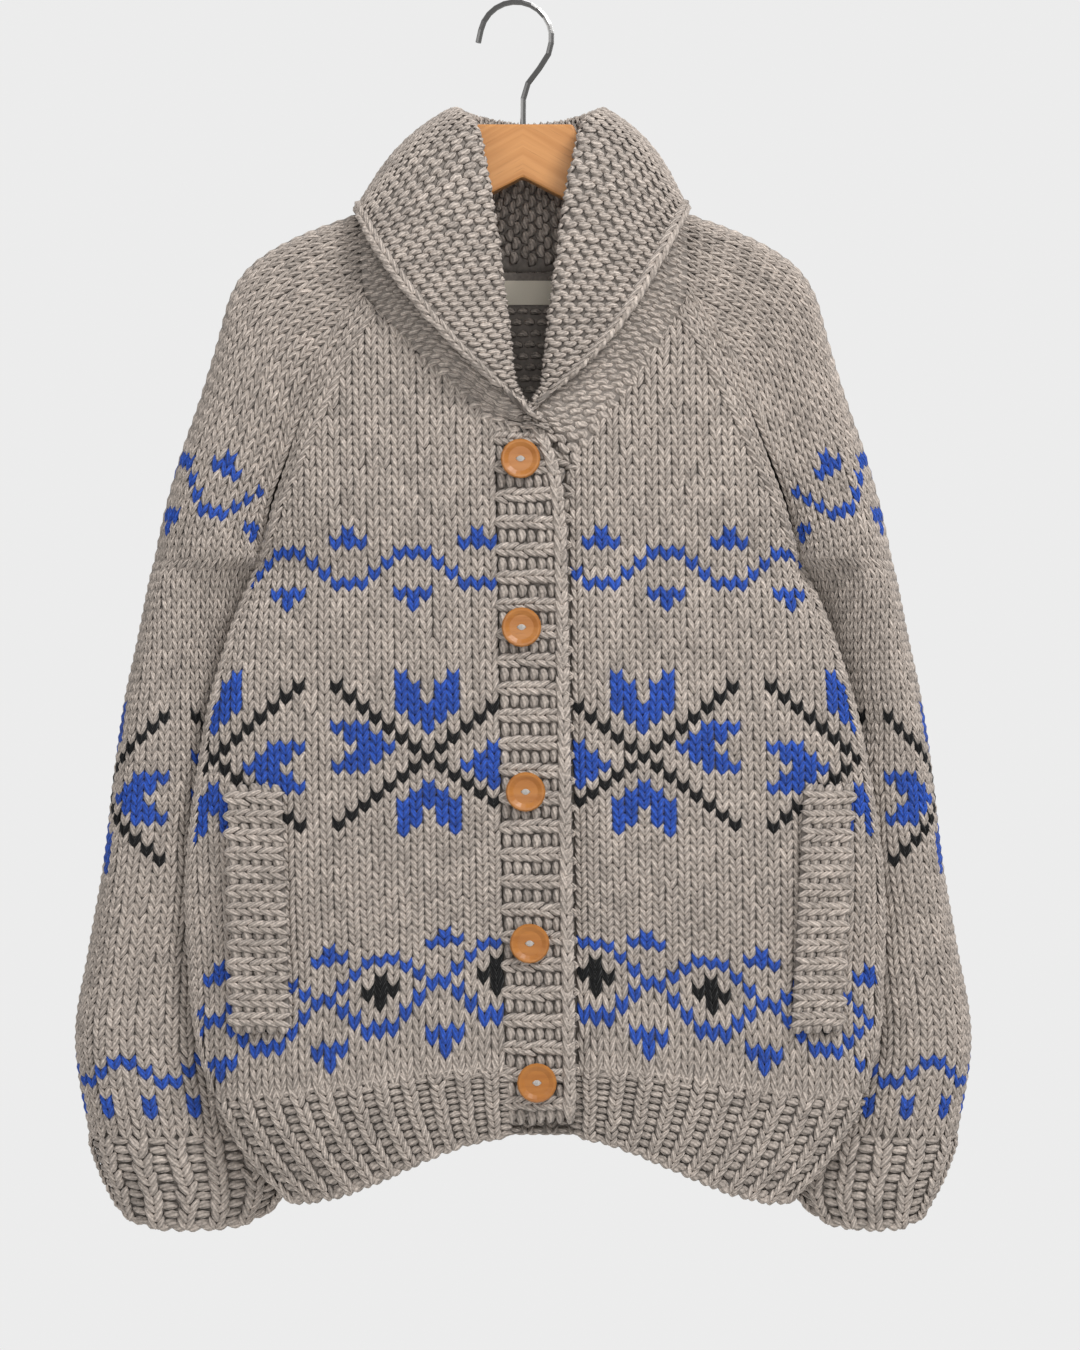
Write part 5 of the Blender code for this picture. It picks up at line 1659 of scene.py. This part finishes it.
# Thread in the middle of each button, a small padded diamond through its two holes
thread, shader = newMaterial("sewing thread", 0.7, Sheen_Weight=0.2)
twist = noise(objectPlace(), 2600.0)
join(mixed(twist, (0.26, 0.24, 0.22, 1), (0.62, 0.59, 0.55, 1)), shader, "Base Color")
bumped(shader, twist, 0.0002)
threadSize = {
    "across": 0.0062,
    "tall": 0.0032,
    "strands": 5,
    "thick": 0.0008,
    "depth": 0.0016,  # of its ends below the button's highest face
    "sunk": 0.0006,
    "arch": 0.0011,
    "archLost": 0.0004,  # at the outer strands, which are also shorter
    "shorter": 0.1,
}
for number, (x, z) in enumerate(buttonPlaces, 1):
    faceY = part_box(f"button_{number}")[0][1] + threadSize["depth"]
    bpy.ops.object.select_all(action="DESELECT")
    strands = []
    reach = threadSize["across"] / 2
    for share in np.linspace(-1, 1, threadSize["strands"]):
        bpy.ops.mesh.primitive_cylinder_add(
            vertices=8, radius=threadSize["thick"] / 2, depth=2 * reach,
            rotation=(0, math.pi / 2, 0),
        )
        strand = bpy.context.active_object
        bpy.ops.object.transform_apply(location=False, rotation=True, scale=True)
        bpy.ops.object.mode_set(mode="EDIT")
        bpy.ops.mesh.select_all(action="SELECT")
        bpy.ops.mesh.subdivide(number_cuts=6)
        bpy.ops.object.mode_set(mode="OBJECT")
        for v in strand.data.vertices:
            arch = max(0.0, 1 - (v.co.x / reach) ** 2)
            high = threadSize["arch"] - threadSize["archLost"] * abs(share)
            v.co.z += share * threadSize["tall"] / 2 * arch**0.8
            v.co.y -= high * arch - threadSize["sunk"]
            v.co.x *= 1 - threadSize["shorter"] * abs(share)
        strand.data.transform(Matrix.Translation((x, faceY, z)))
        strands.append(strand)
    for strand in strands:
        strand.select_set(True)
    bpy.context.view_layer.objects.active = strands[0]
    bpy.ops.object.join()
    made = bpy.context.active_object
    made.name = f"button_{number}_thread"
    bpy.ops.object.shade_smooth()
    made.data.materials.append(thread)
    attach(made, "root")
print("buttons and hanger")

# Camera, floor and light
view = {"middle": (0.0119, -0.4686), "away": 2.2, "frameHigh": 0.945, "sensor": 36}
studio = {
    "floorZ": -1.6,
    "floor": (0.80, 0.80, 0.79, 1),
    "backdrop": (0.84, 0.84, 0.84, 1),
    "light": 0.58,  # softer than the backdrop looks
    "shown": 0.42,
    "aim": (0.0, 0.0, -0.45),
}
bpy.ops.object.select_all(action="DESELECT")
bpy.ops.object.camera_add(
    location=(view["middle"][0], -view["away"], view["middle"][1]), rotation=(math.pi / 2, 0, 0)
)
camera = bpy.context.active_object
camera.data.sensor_width = view["sensor"]
camera.data.lens = view["sensor"] * view["away"] / view["frameHigh"]
camera.data.clip_end = 50
scene.camera = camera

bpy.ops.mesh.primitive_plane_add(size=4, location=(0, 0, studio["floorZ"]))
floor = bpy.context.active_object
floor.name = "floor"
paper, shader = newMaterial("pale floor", 0.9, Base_Color=studio["floor"])
floor.data.materials.append(paper)

world = bpy.data.worlds.new("studio")
scene.world = world
world.use_nodes = True
background = world.node_tree.nodes["Background"]
background.inputs["Color"].default_value = studio["backdrop"]
Shade.tree = world.node_tree
seen = Shade.node("ShaderNodeLightPath")
join(seen * studio["shown"] + studio["light"], background, "Strength")
scene.view_settings.view_transform = "Standard"

lights = {
    "key": ((1.2, -1.6, 1.4), 0.9, 54.0),
    "fill": ((-1.5, -1.9, 0.2), 1.4, 8.0),
    "front": ((0.1, -2.7, 0.0), 0.8, 14.0),
    "rear": ((1.0, 2.3, 0.9), 1.6, 30.0),
    "rear fill": ((-1.6, 1.9, -0.2), 1.4, 12.0),
}
for name, (where, size, watts) in lights.items():
    bpy.ops.object.light_add(type="AREA", location=where)
    lamp = bpy.context.active_object
    lamp.name = name
    lamp.data.size = size
    lamp.data.energy = watts
    way = Vector(studio["aim"]) - Vector(where)
    lamp.rotation_euler = way.to_track_quat("-Z", "Y").to_euler()
print("camera and light")
